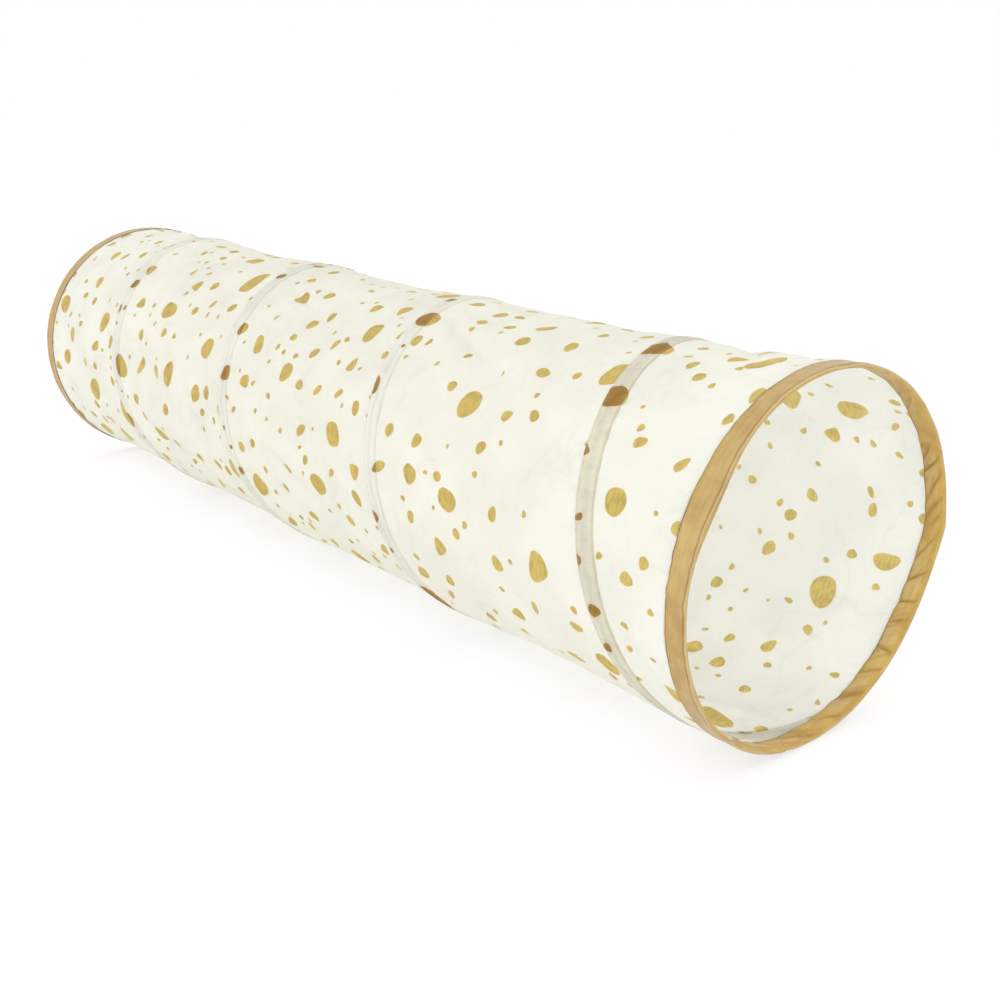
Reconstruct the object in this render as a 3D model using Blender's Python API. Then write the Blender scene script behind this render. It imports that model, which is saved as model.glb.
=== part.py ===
"""A pop-up crawl tunnel for children: a spring-steel coil sewn into a light fabric tube.

The tunnel lies along X with its near end at +X and its lowest line on z = 0.
Metres, +Z up. The origin is on the ground under the middle of the tunnel.

Every piece is lofted through the same rings: half planes through the tunnel's centre
line, FACETS to a turn, set so that a flat facet lies on the ground. A ring number of 0
stands half a facet before the coil's first low point, and the coil climbs towards +X
as the ring number grows. Seen from the near end it turns from the top to the -Y side.
"""

import math

import bmesh
import bpy
from mathutils import Vector

# Driving sizes of the whole tunnel
TUNNEL_LENGTH = 1.80
TUNNEL_DIAMETER = 0.48
COIL_TURNS = 4
FACETS = 32
CLEARANCE = 0.0003

# Spring wire and the crimp sleeves that close its end hoops
WIRE_DIAMETER = 0.0025
WIRE_SIDES = 6
SLEEVE_WALL = 0.0005
SLEEVE_LENGTH = 0.030
SLEEVE_CORNER_STEPS = 3
COIL_START_INSET = 0.0064  # first low point of the coil, inside the hem's edge

# Sewn channel that holds the coil
CHANNEL_WIDTH = 0.029
CHANNEL_CROWN_WIDTH = 0.010
CHANNEL_BELLY_WIDTH = 0.009
CHANNEL_BELLY_WALL = 0.0009

# Hem bindings at both ends
HEM_WIDTH = 0.029
HEM_LAYER = 0.0012
HEM_LIP_ROUNDING = 0.0018

# Sewing thread, modelled as a fine cord lying on the cloth
THREAD_DIAMETER = 0.0006
THREAD_SIDES = 3
CHANNEL_STITCH_INSET = 0.003
HEM_STITCH_INSET = 0.004

# Fabric strip, drawn in between the turns, with slanting tension folds
SHEET_THICKNESS = 0.0010
SHEET_IN_HEM = 0.010
SHEET_LEAST_WIDTH = 0.002
WAIST_DEPTH = 0.0065
FOLD_DEPTH = 0.0032
FOLDS_PER_TURN = 7
FOLD_LEAN_TURNS = 0.9
SHEET_COLUMN_SHARES = (0.09, 0.28, 0.5, 0.72, 0.91)

# Packed flat: what is left of each turn and of each hem along the tunnel
PACKED_PITCH = 0.009
PACKED_HEM_WIDTH = 0.013

# Radii and places that follow from the sizes above
HALF_FACET = math.pi / FACETS
OUTER_RADIUS = TUNNEL_DIAMETER / 2
WIRE_ROOM = WIRE_DIAMETER + 2 * CLEARANCE
SLEEVE_HEIGHT = WIRE_ROOM + 2 * SLEEVE_WALL
HEM_SLOT = SLEEVE_HEIGHT + 2 * CLEARANCE
SLOT_OUTER_RADIUS = OUTER_RADIUS - HEM_LAYER
SLOT_INNER_RADIUS = SLOT_OUTER_RADIUS - HEM_SLOT
HEM_INNER_RADIUS = SLOT_INNER_RADIUS - HEM_LAYER
WIRE_RADIUS = (SLOT_OUTER_RADIUS + SLOT_INNER_RADIUS) / 2
BORE_RADIUS = WIRE_ROOM / 2 / math.cos(math.pi / WIRE_SIDES)
SHEET_RADIUS = SLOT_OUTER_RADIUS - CLEARANCE
HALF_LENGTH = TUNNEL_LENGTH / 2
HEM_EDGE = HALF_LENGTH - HEM_WIDTH
COIL_REACH = HEM_EDGE - COIL_START_INSET
PITCH = 2 * COIL_REACH / COIL_TURNS
WIRE_SPACING = WIRE_DIAMETER + CLEARANCE
SLEEVE_CENTRE = HALF_LENGTH - HEM_LAYER - CLEARANCE - (SLEEVE_HEIGHT + WIRE_SPACING) / 2
HOOP_PLACE = SLEEVE_CENTRE + WIRE_SPACING / 2
LEAD_PLACE = SLEEVE_CENTRE - WIRE_SPACING / 2
FACET_LENGTH = 2 * WIRE_RADIUS * math.tan(HALF_FACET)
HALF_BREAK = CLEARANCE / 2 / FACET_LENGTH
LAST_RING = COIL_TURNS * FACETS + 1
TUNNEL_TURN = Vector((-1, -1, 1))  # half a turn about Z takes one end to the other

# Colours, roughness and metallic value of each material
FINISHES = {
    "steel": ((0.55, 0.56, 0.58, 1), 0.35, 1.0),
    "crimp": ((0.62, 0.62, 0.63, 1), 0.45, 1.0),
    "cloth": ((0.86, 0.86, 0.77, 1), 0.85, 0.0),
    "channel": ((0.80, 0.77, 0.62, 1), 0.85, 0.0),
    "binding": ((0.60, 0.44, 0.20, 1), 0.80, 0.0),
    "thread": ((0.66, 0.60, 0.42, 1), 0.70, 0.0),
}


def clear_scene():
    for item in list(bpy.data.objects):
        bpy.data.objects.remove(item, do_unlink=True)


def make_material(name):
    colour, roughness, metallic = FINISHES[name]
    material = bpy.data.materials.new(name)
    material.use_nodes = True
    material.diffuse_color = colour
    shader = material.node_tree.nodes["Principled BSDF"]
    shader.inputs["Base Color"].default_value = colour
    shader.inputs["Roughness"].default_value = roughness
    shader.inputs["Metallic"].default_value = metallic
    return material


def make_body(name, place):
    """An empty on the tunnel's centre line, which carries what moves together."""
    body = bpy.data.objects.new(name, None)
    body.location = (place, 0, OUTER_RADIUS)
    bpy.context.collection.objects.link(body)
    return body


def ring_angle(ring):
    """Angle about the centre line, from straight down, towards the +Y side."""
    return (ring - 0.5) * 2 * HALF_FACET


def coil_place(ring):
    """Where the coil's middle crosses a ring, along the tunnel."""
    return -COIL_REACH + PITCH * (ring - 0.5) / FACETS


def ring_point(ring, along, radius):
    """A point from the centre line, pushed out so that a facet's middle is at radius."""
    reach = radius / math.cos(HALF_FACET)
    turn = ring_angle(ring)
    return Vector((along, reach * math.sin(turn), -reach * math.cos(turn)))


def section(profile, ring):
    """One closed outline of (along, radius) points, stood up in its ring's plane."""
    whole = math.floor(ring)
    part = ring - whole
    before = [ring_point(whole, *point) for point in profile(whole)]
    if not part:
        return before
    after = [ring_point(whole + 1, *point) for point in profile(whole + 1)]
    return [a.lerp(b, part) for a, b in zip(before, after)]


def rings_between(first, last):
    """Whole rings from first to last, with the broken ones at the two ends."""
    inner = range(math.floor(first) + 1, math.ceil(last))
    return [first, *inner, last]


def skin(near, far):
    """Triangles between two sections. On both faces of a thin wall their diagonals
    lean the same way, as the folds do, so that the two faces never cross."""
    triangles = []
    for i, corner in enumerate(near):
        j = (i + 1) % len(near)
        if corner.co.x < near[j].co.x:
            triangles.append((corner, near[j], far[j]))
            triangles.append((corner, far[j], far[i]))
        else:
            triangles.append((corner, near[j], far[i]))
            triangles.append((near[j], far[j], far[i]))
    return triangles


def loft(name, sections, closed=False):
    """A mesh through the sections, with flat ends unless it closes on itself."""
    shape = bmesh.new()
    loops = [[shape.verts.new(point) for point in outline] for outline in sections]
    if closed:
        loops.append(loops[0])
    for near, far in zip(loops, loops[1:]):
        for corners in skin(near, far):
            shape.faces.new(corners)
    if not closed:
        shape.faces.new(loops[0][::-1])
        shape.faces.new(loops[-1])
    bmesh.ops.remove_doubles(shape, verts=shape.verts, dist=CLEARANCE / 100)
    bmesh.ops.recalc_face_normals(shape, faces=shape.faces)
    mesh = bpy.data.meshes.new(name)
    shape.to_mesh(mesh)
    shape.free()
    return mesh


def add_piece(name, mesh, material, body):
    """Hangs a mesh, drawn from the tunnel's centre, on its body's empty."""
    for vertex in mesh.vertices:
        vertex.co.x -= body.location.x
    mesh.materials.append(material)
    mesh.shade_smooth()
    mesh.set_sharp_from_angle(angle=math.radians(40))
    piece = bpy.data.objects.new(name, mesh)
    bpy.context.collection.objects.link(piece)
    piece.parent = body
    return piece


def turned(mesh):
    """The same shape at the tunnel's other end, half a turn about Z away."""
    for vertex in mesh.vertices:
        vertex.co *= TUNNEL_TURN
    return mesh


def polygon(place, centre, radius, sides):
    """Corners about a point of a ring's plane."""
    corners = [(i + 0.5) * 2 * math.pi / sides for i in range(sides)]
    return [
        (place + radius * math.cos(turn), centre + radius * math.sin(turn))
        for turn in corners
    ]


def wire_outline(place, radius):
    return polygon(place, WIRE_RADIUS, radius, WIRE_SIDES)


def coil_outline(ring):
    return wire_outline(coil_place(ring), WIRE_DIAMETER / 2)


def bore_outline(ring):
    return wire_outline(coil_place(ring), BORE_RADIUS)


def hoop_start():
    """The ring where the hoop's free end lies, a sleeve's facet before the lead-out."""
    reach = (LEAD_PLACE - COIL_REACH) / PITCH * FACETS
    return -math.ceil(reach) - 2


def hoop_place(ring):
    """The rear hoop's place: round the hem, over its own end, then out to the coil."""
    if ring < hoop_start():
        return -HOOP_PLACE
    return max(-LEAD_PLACE, coil_place(ring))


def hoop_outline(ring):
    return wire_outline(hoop_place(ring), WIRE_DIAMETER / 2)


def make_coil_turn(index, body, material):
    first = (index - 1) * FACETS
    last = index * FACETS if index < COIL_TURNS else LAST_RING
    rings = rings_between(first + HALF_BREAK, last - HALF_BREAK)
    mesh = loft(f"coil_turn_{index}", [section(coil_outline, r) for r in rings])
    return add_piece(f"coil_turn_{index}", mesh, material, body)


def hoop_mesh(name):
    """The rear hoop, from its free end in the sleeve to the first turn of the coil."""
    rings = rings_between(hoop_start() - FACETS, -HALF_BREAK)
    return loft(name, [section(hoop_outline, r) for r in rings])


def sleeve_outline(wall):
    """A rounded slot about both wires, the given distance outside their room."""
    radius = WIRE_ROOM / 2 + wall
    outline = []
    for side in (1, -1):
        centre = -SLEEVE_CENTRE + side * WIRE_SPACING / 2
        for step in range(SLEEVE_CORNER_STEPS + 1):
            turn = math.pi * (step / SLEEVE_CORNER_STEPS - 0.5)
            reach = radius * side * math.cos(turn)
            rise = radius * side * math.sin(turn)
            outline.append((centre + reach, WIRE_RADIUS + rise))
    return outline


def sleeve_mesh(name, wall, length):
    """A straight run of the sleeve's outline in the middle of the free end's facet."""
    half_share = length / 2 / FACET_LENGTH
    middle = hoop_start() + 0.5
    ends = (middle - half_share, middle + half_share)
    return loft(name, [section(lambda ring: sleeve_outline(wall), r) for r in ends])


def add_cutter(name, mesh, piece):
    """A hidden shape that the piece is cut by."""
    cutter = add_piece(name, mesh, piece.data.materials[0], piece.parent)
    cutter.hide_render = True
    cutter.display_type = "WIRE"
    cut = piece.modifiers.new("bore", "BOOLEAN")
    cut.operation = "DIFFERENCE"
    cut.object = cutter


def make_sleeve(end, turn, material, body):
    shell = turn(sleeve_mesh(f"{end}_crimp_sleeve", SLEEVE_WALL, SLEEVE_LENGTH))
    piece = add_piece(f"{end}_crimp_sleeve", shell, material, body)
    run_out = SLEEVE_LENGTH + 2 * WIRE_DIAMETER
    bore = turn(sleeve_mesh(f"{end}_sleeve_bore", 0, run_out))
    add_cutter(f"{end}_sleeve_bore", bore, piece)


def channel_outline(ring):
    """The channel's section: flush edges, a raised crown and a belly under the wire."""
    middle = coil_place(ring)
    half = CHANNEL_WIDTH / 2
    crown = CHANNEL_CROWN_WIDTH / 2
    belly = CHANNEL_BELLY_WIDTH / 2
    belly_radius = WIRE_RADIUS - BORE_RADIUS - CHANNEL_BELLY_WALL
    stop = HEM_EDGE - CLEARANCE
    points = (
        (-half, SHEET_RADIUS),
        (-crown, OUTER_RADIUS),
        (crown, OUTER_RADIUS),
        (half, SHEET_RADIUS),
        (half, SHEET_RADIUS - SHEET_THICKNESS),
        (belly, belly_radius),
        (-belly, belly_radius),
        (-half, SHEET_RADIUS - SHEET_THICKNESS),
    )
    return [(min(stop, max(-stop, middle + x)), radius) for x, radius in points]


def channel_first_ring():
    """The first ring where the channel has left the rear hem."""
    ring = 0
    while coil_place(ring - 1) + CHANNEL_WIDTH / 2 > CLEARANCE - HEM_EDGE:
        ring -= 1
    return ring


def make_channel(index, body, material):
    first = (index - 1) * FACETS + HALF_BREAK
    last = index * FACETS - HALF_BREAK
    if index == 1:
        first = channel_first_ring()
    if index == COIL_TURNS:
        last = LAST_RING - channel_first_ring()
    rings = rings_between(first, last)
    name = f"wire_channel_{index}"
    piece = add_piece(
        name, loft(name, [section(channel_outline, r) for r in rings]), material, body
    )
    bore_rings = rings_between(first - 0.5, last + 0.5)
    bore = loft(f"{name}_bore", [section(bore_outline, r) for r in bore_rings])
    add_cutter(f"{name}_bore", bore, piece)


def channel_stitch_place(ring, side):
    """Where a row of stitches crosses a ring, near the channel's rear or front edge."""
    return coil_place(ring) + side * (CHANNEL_WIDTH / 2 - CHANNEL_STITCH_INSET)


def channel_stitch_outline(ring, side):
    slope = (OUTER_RADIUS - SHEET_RADIUS) / (CHANNEL_WIDTH - CHANNEL_CROWN_WIDTH) * 2
    lift = CLEARANCE + THREAD_DIAMETER / 2 + slope * CHANNEL_STITCH_INSET
    place = channel_stitch_place(ring, side)
    return polygon(place, SHEET_RADIUS + lift, THREAD_DIAMETER / 2, THREAD_SIDES)


def make_channel_stitch(index, edge, side, body, material):
    """One row of stitches along one turn, ending where the channel enters a hem."""
    first = (index - 1) * FACETS + HALF_BREAK
    last = index * FACETS - HALF_BREAK
    if index == 1:
        first = channel_first_ring()
    if index == COIL_TURNS:
        last = LAST_RING - channel_first_ring()
    stop = HEM_EDGE - CLEARANCE - THREAD_DIAMETER
    rings = [
        r for r in rings_between(first, last) if abs(channel_stitch_place(r, side)) < stop
    ]
    name = f"channel_{index}_{edge}_stitch"
    outlines = [section(lambda r: channel_stitch_outline(r, side), r) for r in rings]
    add_piece(name, loft(name, outlines), material, body)


def sheet_limits(ring):
    """The strip's two edges at a ring, and the supports that it is drawn in between."""
    side = CHANNEL_WIDTH / 2 + CLEARANCE
    stop = HEM_EDGE + SHEET_IN_HEM
    left = max(-stop, coil_place(ring - FACETS) + side)
    right = min(stop, coil_place(ring) - side)
    near = min(right, max(left, -HEM_EDGE))
    far = max(left, min(right, HEM_EDGE))
    return left, near, far, right


def sheet_drop(share, fullness, ring):
    """How far the cloth is drawn in: a waist between its supports, with folds on it."""
    waist = WAIST_DEPTH * 4 * share * (1 - share)
    lean = 2 * math.pi * FOLD_LEAN_TURNS * share
    ripple = math.sin(FOLDS_PER_TURN * ring_angle(ring) - lean)
    fold = FOLD_DEPTH * math.sin(math.pi * share) * ripple
    return (waist + fold) * fullness


def sheet_outline(ring):
    left, near, far, right = sheet_limits(ring)
    fullness = (far - near) / (PITCH - CHANNEL_WIDTH)
    top = [(left, SHEET_RADIUS)]
    for share in SHEET_COLUMN_SHARES:
        drop = sheet_drop(share, fullness, ring)
        top.append((near + share * (far - near), SHEET_RADIUS - drop))
    top.append((right, SHEET_RADIUS))
    under = [(x, radius - SHEET_THICKNESS) for x, radius in reversed(top)]
    return top + under


def make_panel(index, body, material):
    first = (index - 1) * FACETS
    last = index * FACETS
    rings = rings_between(first + HALF_BREAK, last - HALF_BREAK)
    if index == 1:
        rings = [r for r in rings_between(first, last - HALF_BREAK) if wide_enough(r)]
    if index > COIL_TURNS:
        rings = [r for r in rings_between(first + HALF_BREAK, last) if wide_enough(r)]
    name = f"fabric_panel_{index}"
    mesh = loft(name, [section(sheet_outline, r) for r in rings])
    return add_piece(name, mesh, material, body)


def wide_enough(ring):
    """Whether the strip, which starts and ends in a hem, is there at all."""
    left, _, _, right = sheet_limits(ring)
    return right - left > SHEET_LEAST_WIDTH


def hem_outline(ring):
    """A binding folded round the hoop: two legs, and a closed end with eased corners."""
    end = -HALF_LENGTH
    round_in = HEM_LIP_ROUNDING
    return [
        (-HEM_EDGE, OUTER_RADIUS),
        (end + round_in, OUTER_RADIUS),
        (end, OUTER_RADIUS - round_in),
        (end, HEM_INNER_RADIUS + round_in),
        (end + round_in, HEM_INNER_RADIUS),
        (-HEM_EDGE, HEM_INNER_RADIUS),
        (-HEM_EDGE, SLOT_INNER_RADIUS),
        (end + HEM_LAYER, SLOT_INNER_RADIUS),
        (end + HEM_LAYER, SLOT_OUTER_RADIUS),
        (-HEM_EDGE, SLOT_OUTER_RADIUS),
    ]


def hem_mesh(name):
    rings = range(FACETS)
    return loft(name, [section(hem_outline, r) for r in rings], closed=True)


def hem_stitch_outline(ring):
    place = -HEM_EDGE - HEM_STITCH_INSET
    radius = THREAD_DIAMETER / 2
    return polygon(place, HEM_INNER_RADIUS - CLEARANCE - radius, radius, THREAD_SIDES)


def hem_stitch_mesh(name):
    """The row of stitches inside the hem, all the way round."""
    rings = range(FACETS)
    return loft(name, [section(hem_stitch_outline, r) for r in rings], closed=True)


def make_end(end, turn, body, materials):
    """A hem binding with its stitches, and the hoop wire and sleeve that it holds."""
    hoop = turn(hoop_mesh(f"{end}_hoop_wire"))
    add_piece(f"{end}_hoop_wire", hoop, materials["steel"], body)
    hem = turn(hem_mesh(f"{end}_hem_binding"))
    add_piece(f"{end}_hem_binding", hem, materials["binding"], body)
    stitch = turn(hem_stitch_mesh(f"{end}_hem_stitch"))
    add_piece(f"{end}_hem_stitch", stitch, materials["thread"], body)
    make_sleeve(end, turn, materials["crimp"], body)


def turn_middle(index):
    """The middle of one turn of the coil, along the tunnel."""
    return -COIL_REACH + PITCH * (index - 0.5)


def packed_place(place):
    """Where a point of the cloth between the hems goes when the tunnel is packed flat."""
    hem_share = PACKED_HEM_WIDTH / HEM_WIDTH
    edge = -HOOP_PLACE + (HOOP_PLACE - HEM_EDGE) * hem_share
    return edge + (place + HEM_EDGE) * PACKED_PITCH / PITCH


def print_travel():
    """Each body's travel towards the rear end from open to packed flat."""
    hem_share = PACKED_HEM_WIDTH / HEM_WIDTH
    front = packed_place(HEM_EDGE) + (HOOP_PLACE - HEM_EDGE) * hem_share
    whole = HOOP_PLACE - front
    print(f"front end travel {whole:.5f} m, pitch {PITCH:.5f} m")
    for index in range(1, COIL_TURNS + 1):
        middle = turn_middle(index)
        travel = middle - packed_place(middle)
        print(f"turn {index} at {middle:.5f} m, travel {travel:.5f} m, share {travel / whole:.6f}")


def main():
    clear_scene()
    materials = {name: make_material(name) for name in FINISHES}
    rear = make_body("rear_end", -HOOP_PLACE)
    front = make_body("front_end", HOOP_PLACE)
    make_end("rear", lambda mesh: mesh, rear, materials)
    make_end("front", turned, front, materials)
    for index in range(1, COIL_TURNS + 1):
        body = make_body(f"turn_{index}", turn_middle(index))
        make_coil_turn(index, body, materials["steel"])
        make_channel(index, body, materials["channel"])
        make_channel_stitch(index, "rear", -1, body, materials["thread"])
        make_channel_stitch(index, "front", 1, body, materials["thread"])
        make_panel(index, body, materials["cloth"])
    make_panel(COIL_TURNS + 1, front, materials["cloth"])
    bpy.context.view_layer.update()
    print_travel()


main()
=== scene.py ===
"""A children's pop-up crawl tunnel: cloth, wire, stitching and studio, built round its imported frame.

Metres, +Z up. The tunnel lies along X and its near end is at +X. An angle about the
centre line starts straight down and grows towards +Y, and the coil climbs towards +X as
the angle grows, one pitch in each turn.
"""

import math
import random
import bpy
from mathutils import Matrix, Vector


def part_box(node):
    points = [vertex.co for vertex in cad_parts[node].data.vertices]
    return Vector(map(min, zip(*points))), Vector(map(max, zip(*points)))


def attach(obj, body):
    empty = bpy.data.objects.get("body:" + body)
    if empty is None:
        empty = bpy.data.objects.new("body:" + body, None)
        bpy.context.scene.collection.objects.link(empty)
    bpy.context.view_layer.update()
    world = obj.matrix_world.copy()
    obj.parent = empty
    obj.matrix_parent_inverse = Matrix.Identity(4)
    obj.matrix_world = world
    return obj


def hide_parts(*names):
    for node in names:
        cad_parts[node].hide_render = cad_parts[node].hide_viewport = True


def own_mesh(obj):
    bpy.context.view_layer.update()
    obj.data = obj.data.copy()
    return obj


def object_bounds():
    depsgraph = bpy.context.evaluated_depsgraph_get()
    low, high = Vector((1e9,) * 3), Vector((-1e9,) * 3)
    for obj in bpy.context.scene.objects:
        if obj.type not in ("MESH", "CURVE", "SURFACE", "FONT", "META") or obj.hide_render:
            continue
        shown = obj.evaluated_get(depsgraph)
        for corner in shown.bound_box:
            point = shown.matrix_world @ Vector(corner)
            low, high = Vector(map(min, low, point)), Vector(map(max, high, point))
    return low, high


bl_info = {
    "name": "Pop-up Crawl Tunnel",
    "version": (1, 0, 0),
    "blender": (4, 5, 0),
    "location": "3D View > Sidebar > Tunnel",
    "description": "Builds the cloth, wire, stitching and studio of a children's crawl tunnel",
    "category": "Add Mesh",
}

import bpy
import numpy as np
from bpy.props import FloatProperty, FloatVectorProperty, IntProperty, PointerProperty
from mathutils import Vector, noise

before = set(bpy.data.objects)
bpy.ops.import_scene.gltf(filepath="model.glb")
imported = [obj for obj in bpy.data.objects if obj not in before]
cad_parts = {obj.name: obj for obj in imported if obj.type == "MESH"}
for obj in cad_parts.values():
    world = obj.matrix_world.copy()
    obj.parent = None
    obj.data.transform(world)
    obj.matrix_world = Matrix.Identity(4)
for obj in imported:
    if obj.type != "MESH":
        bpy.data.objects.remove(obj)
CAD_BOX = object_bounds()

# The frame's own sizes
HALF_LENGTH = CAD_BOX[1].x
OUTER_RADIUS = CAD_BOX[1].z / 2
HEM_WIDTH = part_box("rear_hem_binding")[1].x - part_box("rear_hem_binding")[0].x
HEM_EDGE = HALF_LENGTH - HEM_WIDTH
TURN = 2 * math.pi
COIL_TURNS = 4
COIL_START_INSET = 0.0064  # from the hem's edge to where the coil starts, straight down
COIL_REACH = HEM_EDGE - COIL_START_INSET
PITCH = 2 * COIL_REACH / COIL_TURNS
FACET = TURN / 32
BODY_BREAK = -TURN / 64  # where one turn's body ends and the next begins, before straight down
WIRE_LINE = 0.23645  # radius of the wires' middle line
HOOP_PLACE = 0.89645  # where a hoop's first pass lies
LEAD_PLACE = 0.89365  # where its second pass lies, further in
WIRE_GAP_ANGLE = 0.0006
ROWS_PER_TURN = 480
WIRE_ROWS_PER_TURN = 96
WIRE_SIDES = 10

TURNS = range(1, COIL_TURNS + 1)
PANELS = range(1, COIL_TURNS + 2)
SEAMS = {"rear": -1, "front": 1}  # the two edges of a channel, and their sides
HEM_SEEDS = {"rear": 31.0, "front": 17.0}

# How the tunnel lies: it sinks a little between its hoops, and the near hoop bulges
SINK_DEPTH = 0.0150
SINK_START = -0.85
SINK_RUN = 1.0
HELD_SHARE = 0.62  # how much of the sink the near hoop holds up
HELD_START = 0.62
HELD_RUN = 0.30
BULGE = 0.0080
BULGE_START = 0.70
BULGE_RUN = 0.18
BULGE_ANGLE = math.radians(108)
BULGE_NARROWNESS = 4.6
CORNER = 0.0100
CORNER_START = 0.80
CORNER_RUN = 0.09
CORNER_ANGLE = math.radians(87)
CORNER_WIDTH = math.radians(9)
CORNER_ROUNDING = math.radians(1.6)

# Packed flat: what is left of each turn and of each hem along the tunnel
PACKED_PITCH = 0.009
PACKED_HEM_WIDTH = 0.013
TURN_KEEP = PACKED_PITCH / PITCH
HEM_KEEP = PACKED_HEM_WIDTH / HEM_WIDTH

NOISE_SPAN = 1.6  # brings noise out to about -1 and 1
SHARP_ANGLE = math.radians(55)


def length_property(name, description, default):
    return FloatProperty(name=name, description=description, default=default, unit="LENGTH")


class TunnelSizes(bpy.types.PropertyGroup):
    """Sizes that a maker would change."""

    cloth_thickness: length_property("Cloth", "Thickness of the light polyester", 0.0004)
    waist_depth: length_property("Waist", "Depth of the waist between two turns", 0.0060)
    fold_depth: length_property("Folds", "Depth of the deepest slanting tension fold", 0.0085)
    crinkle: length_property("Crinkle", "Height of the cloth's fine unevenness", 0.0016)
    channel_width: length_property("Channel", "Width of the lap that holds the coil", 0.029)
    binding_thickness: length_property("Binding", "Thickness of the hem binding", 0.0006)
    wire_diameter: length_property("Wire", "Diameter of the spring wire", 0.0025)
    thread_diameter: length_property("Thread", "Diameter of the sewing thread", 0.0005)
    stitch_length: length_property("Stitch", "Length of one stitch", 0.0030)
    stitch_gap: length_property("Stitch gap", "Distance between two stitches", 0.0009)
    folds_per_turn: IntProperty(
        name="Folds per turn", description="Slanting tension folds in a turn", default=9, min=0
    )


def colour_property(name, description, default):
    return FloatVectorProperty(
        name=name, description=description, default=default, subtype="COLOR", min=0, max=1
    )


class TunnelColours(bpy.types.PropertyGroup):
    """Linear colours of the finishes."""

    cloth: colour_property("Cloth", "Off-white cloth, by the light on it", (0.955, 0.955, 0.925))
    cloth_lit: colour_property(
        "Cloth lit through", "Off-white cloth, by light from behind", (0.985, 0.985, 0.950)
    )
    spot: colour_property("Spots", "Ochre print, by the light on it", (0.61, 0.39, 0.115))
    spot_lit: colour_property(
        "Spots lit through", "Ochre print, by light from behind", (0.92, 0.865, 0.52)
    )
    # painted shade: the lap's last turn is painted in this darker beige, for the doubled cloth that
    # lets less light through
    channel: colour_property("Channel", "Cloth of the near turn's lap", (0.925, 0.887, 0.760))
    binding: colour_property("Binding", "Golden tan hem binding", (0.645, 0.450, 0.160))
    binding_dark: colour_property("Binding's shade", "Creases and edges", (0.46, 0.26, 0.070))
    # painted highlight over the lip and on the ridges of the gathers
    binding_highlight: colour_property("Binding's rim", "Worn pale over the wire", (0.80, 0.63, 0.32))
    # darker turned edges, with painted shade along them and along the line short of the lip
    binding_edge_and_shade: colour_property("Binding's edge", "Turned and stitched edges", (0.20, 0.10, 0.03))
    thread: colour_property("Thread", "Thread of the channels", (0.62, 0.59, 0.50))
    hem_thread: colour_property("Hem thread", "Thread of the bindings", (0.50, 0.33, 0.12))
    steel: colour_property("Steel", "Spring wire", (0.52, 0.53, 0.55))
    floor: colour_property("Floor", "Studio floor", (0.90, 0.90, 0.90))


def coil_place(turns):
    """Where the coil is along the tunnel, a number of turns from its start."""
    return -COIL_REACH + PITCH * turns


def smooth(values):
    """Eases 0 to 1 with level ends, and holds them outside."""
    values = np.clip(values, 0, 1)
    return values * values * (3 - 2 * values)


def rise(values, start, run):
    """Eases from 0 at the start to 1 a run further on."""
    return smooth((values - start) / run)


def bump(values):
    """A soft hill of height 1 at zero."""
    return np.exp(-np.square(values))


def waver(values, seed):
    """A smooth random line, from -1 to 1, that changes about once per unit."""
    flat = np.ravel(values)
    line = [noise.noise(Vector((value, seed, 0.37))) for value in flat]
    return np.reshape(line, np.shape(values)) * NOISE_SPAN


def ruffle(u, v, seed):
    """A smooth random sheet, from -1 to 1, over two broadcast coordinates."""
    u, v = np.broadcast_arrays(u, v)
    pairs = zip(u.ravel(), v.ravel())
    sheet = [noise.noise(Vector((a, b, seed))) for a, b in pairs]
    return np.reshape(sheet, u.shape) * NOISE_SPAN


def fold_line(values, sharpness):
    """A narrow ridge along the places where a smooth random sheet is level."""
    return np.clip(1 - np.abs(values) * sharpness, 0, 1) ** 1.4


def angle_from(angles, middle):
    """Angles from a middle one, within half a turn of it either way."""
    return (angles - middle + math.pi) % TURN - math.pi


def sink(along):
    """How far the top of the tunnel sinks under its own weight, along its length."""
    held = HELD_SHARE * rise(along, HELD_START, HELD_RUN)
    return SINK_DEPTH * rise(along, SINK_START, SINK_RUN) * (1 - held)


def on_tunnel(along, radius, angle):
    """Points at places along the tunnel, distances from its centre line and angles."""
    along, radius, angle = np.broadcast_arrays(along, radius, angle)
    share = sink(along) / (2 * OUTER_RADIUS)
    side = np.exp((np.cos(angle - BULGE_ANGLE) - 1) * BULGE_NARROWNESS)
    off = np.hypot(angle_from(angle, CORNER_ANGLE), CORNER_ROUNDING)
    fall = np.exp((CORNER_ROUNDING - off) / CORNER_WIDTH)
    corner = CORNER * fall * rise(along, CORNER_START, CORNER_RUN)
    bulge = (BULGE * side * rise(along, BULGE_START, BULGE_RUN) + corner) * np.sin(angle)
    across = radius * np.sin(angle) * (1 + share) + bulge
    height = (OUTER_RADIUS - radius * np.cos(angle)) * (1 - share)
    return np.stack([along, across, height], axis=-1)


def on_end(end, along, radius, angle):
    """Points round one end, which are half a turn about the upright apart."""
    if end == "rear":
        return on_tunnel(-along, radius, -angle)
    return on_tunnel(along, radius, angle)


def steps(start, stop, per_turn=ROWS_PER_TURN):
    """Angles from start to stop, about per_turn of them to a turn."""
    count = max(2, round((stop - start) / TURN * per_turn) + 1)
    return np.linspace(start, stop, count)


def add_mesh(name, points, faces, material):
    """An object from points and faces, shaded smooth except over its cut edges."""
    mesh = bpy.data.meshes.new(name)
    mesh.from_pydata(np.reshape(points, (-1, 3)).tolist(), [], faces)
    mesh.materials.append(material)
    mesh.shade_smooth()
    mesh.set_sharp_from_angle(angle=SHARP_ANGLE)
    mesh.update()
    piece = bpy.data.objects.new(name, mesh)
    bpy.context.scene.collection.objects.link(piece)
    return piece


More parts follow.
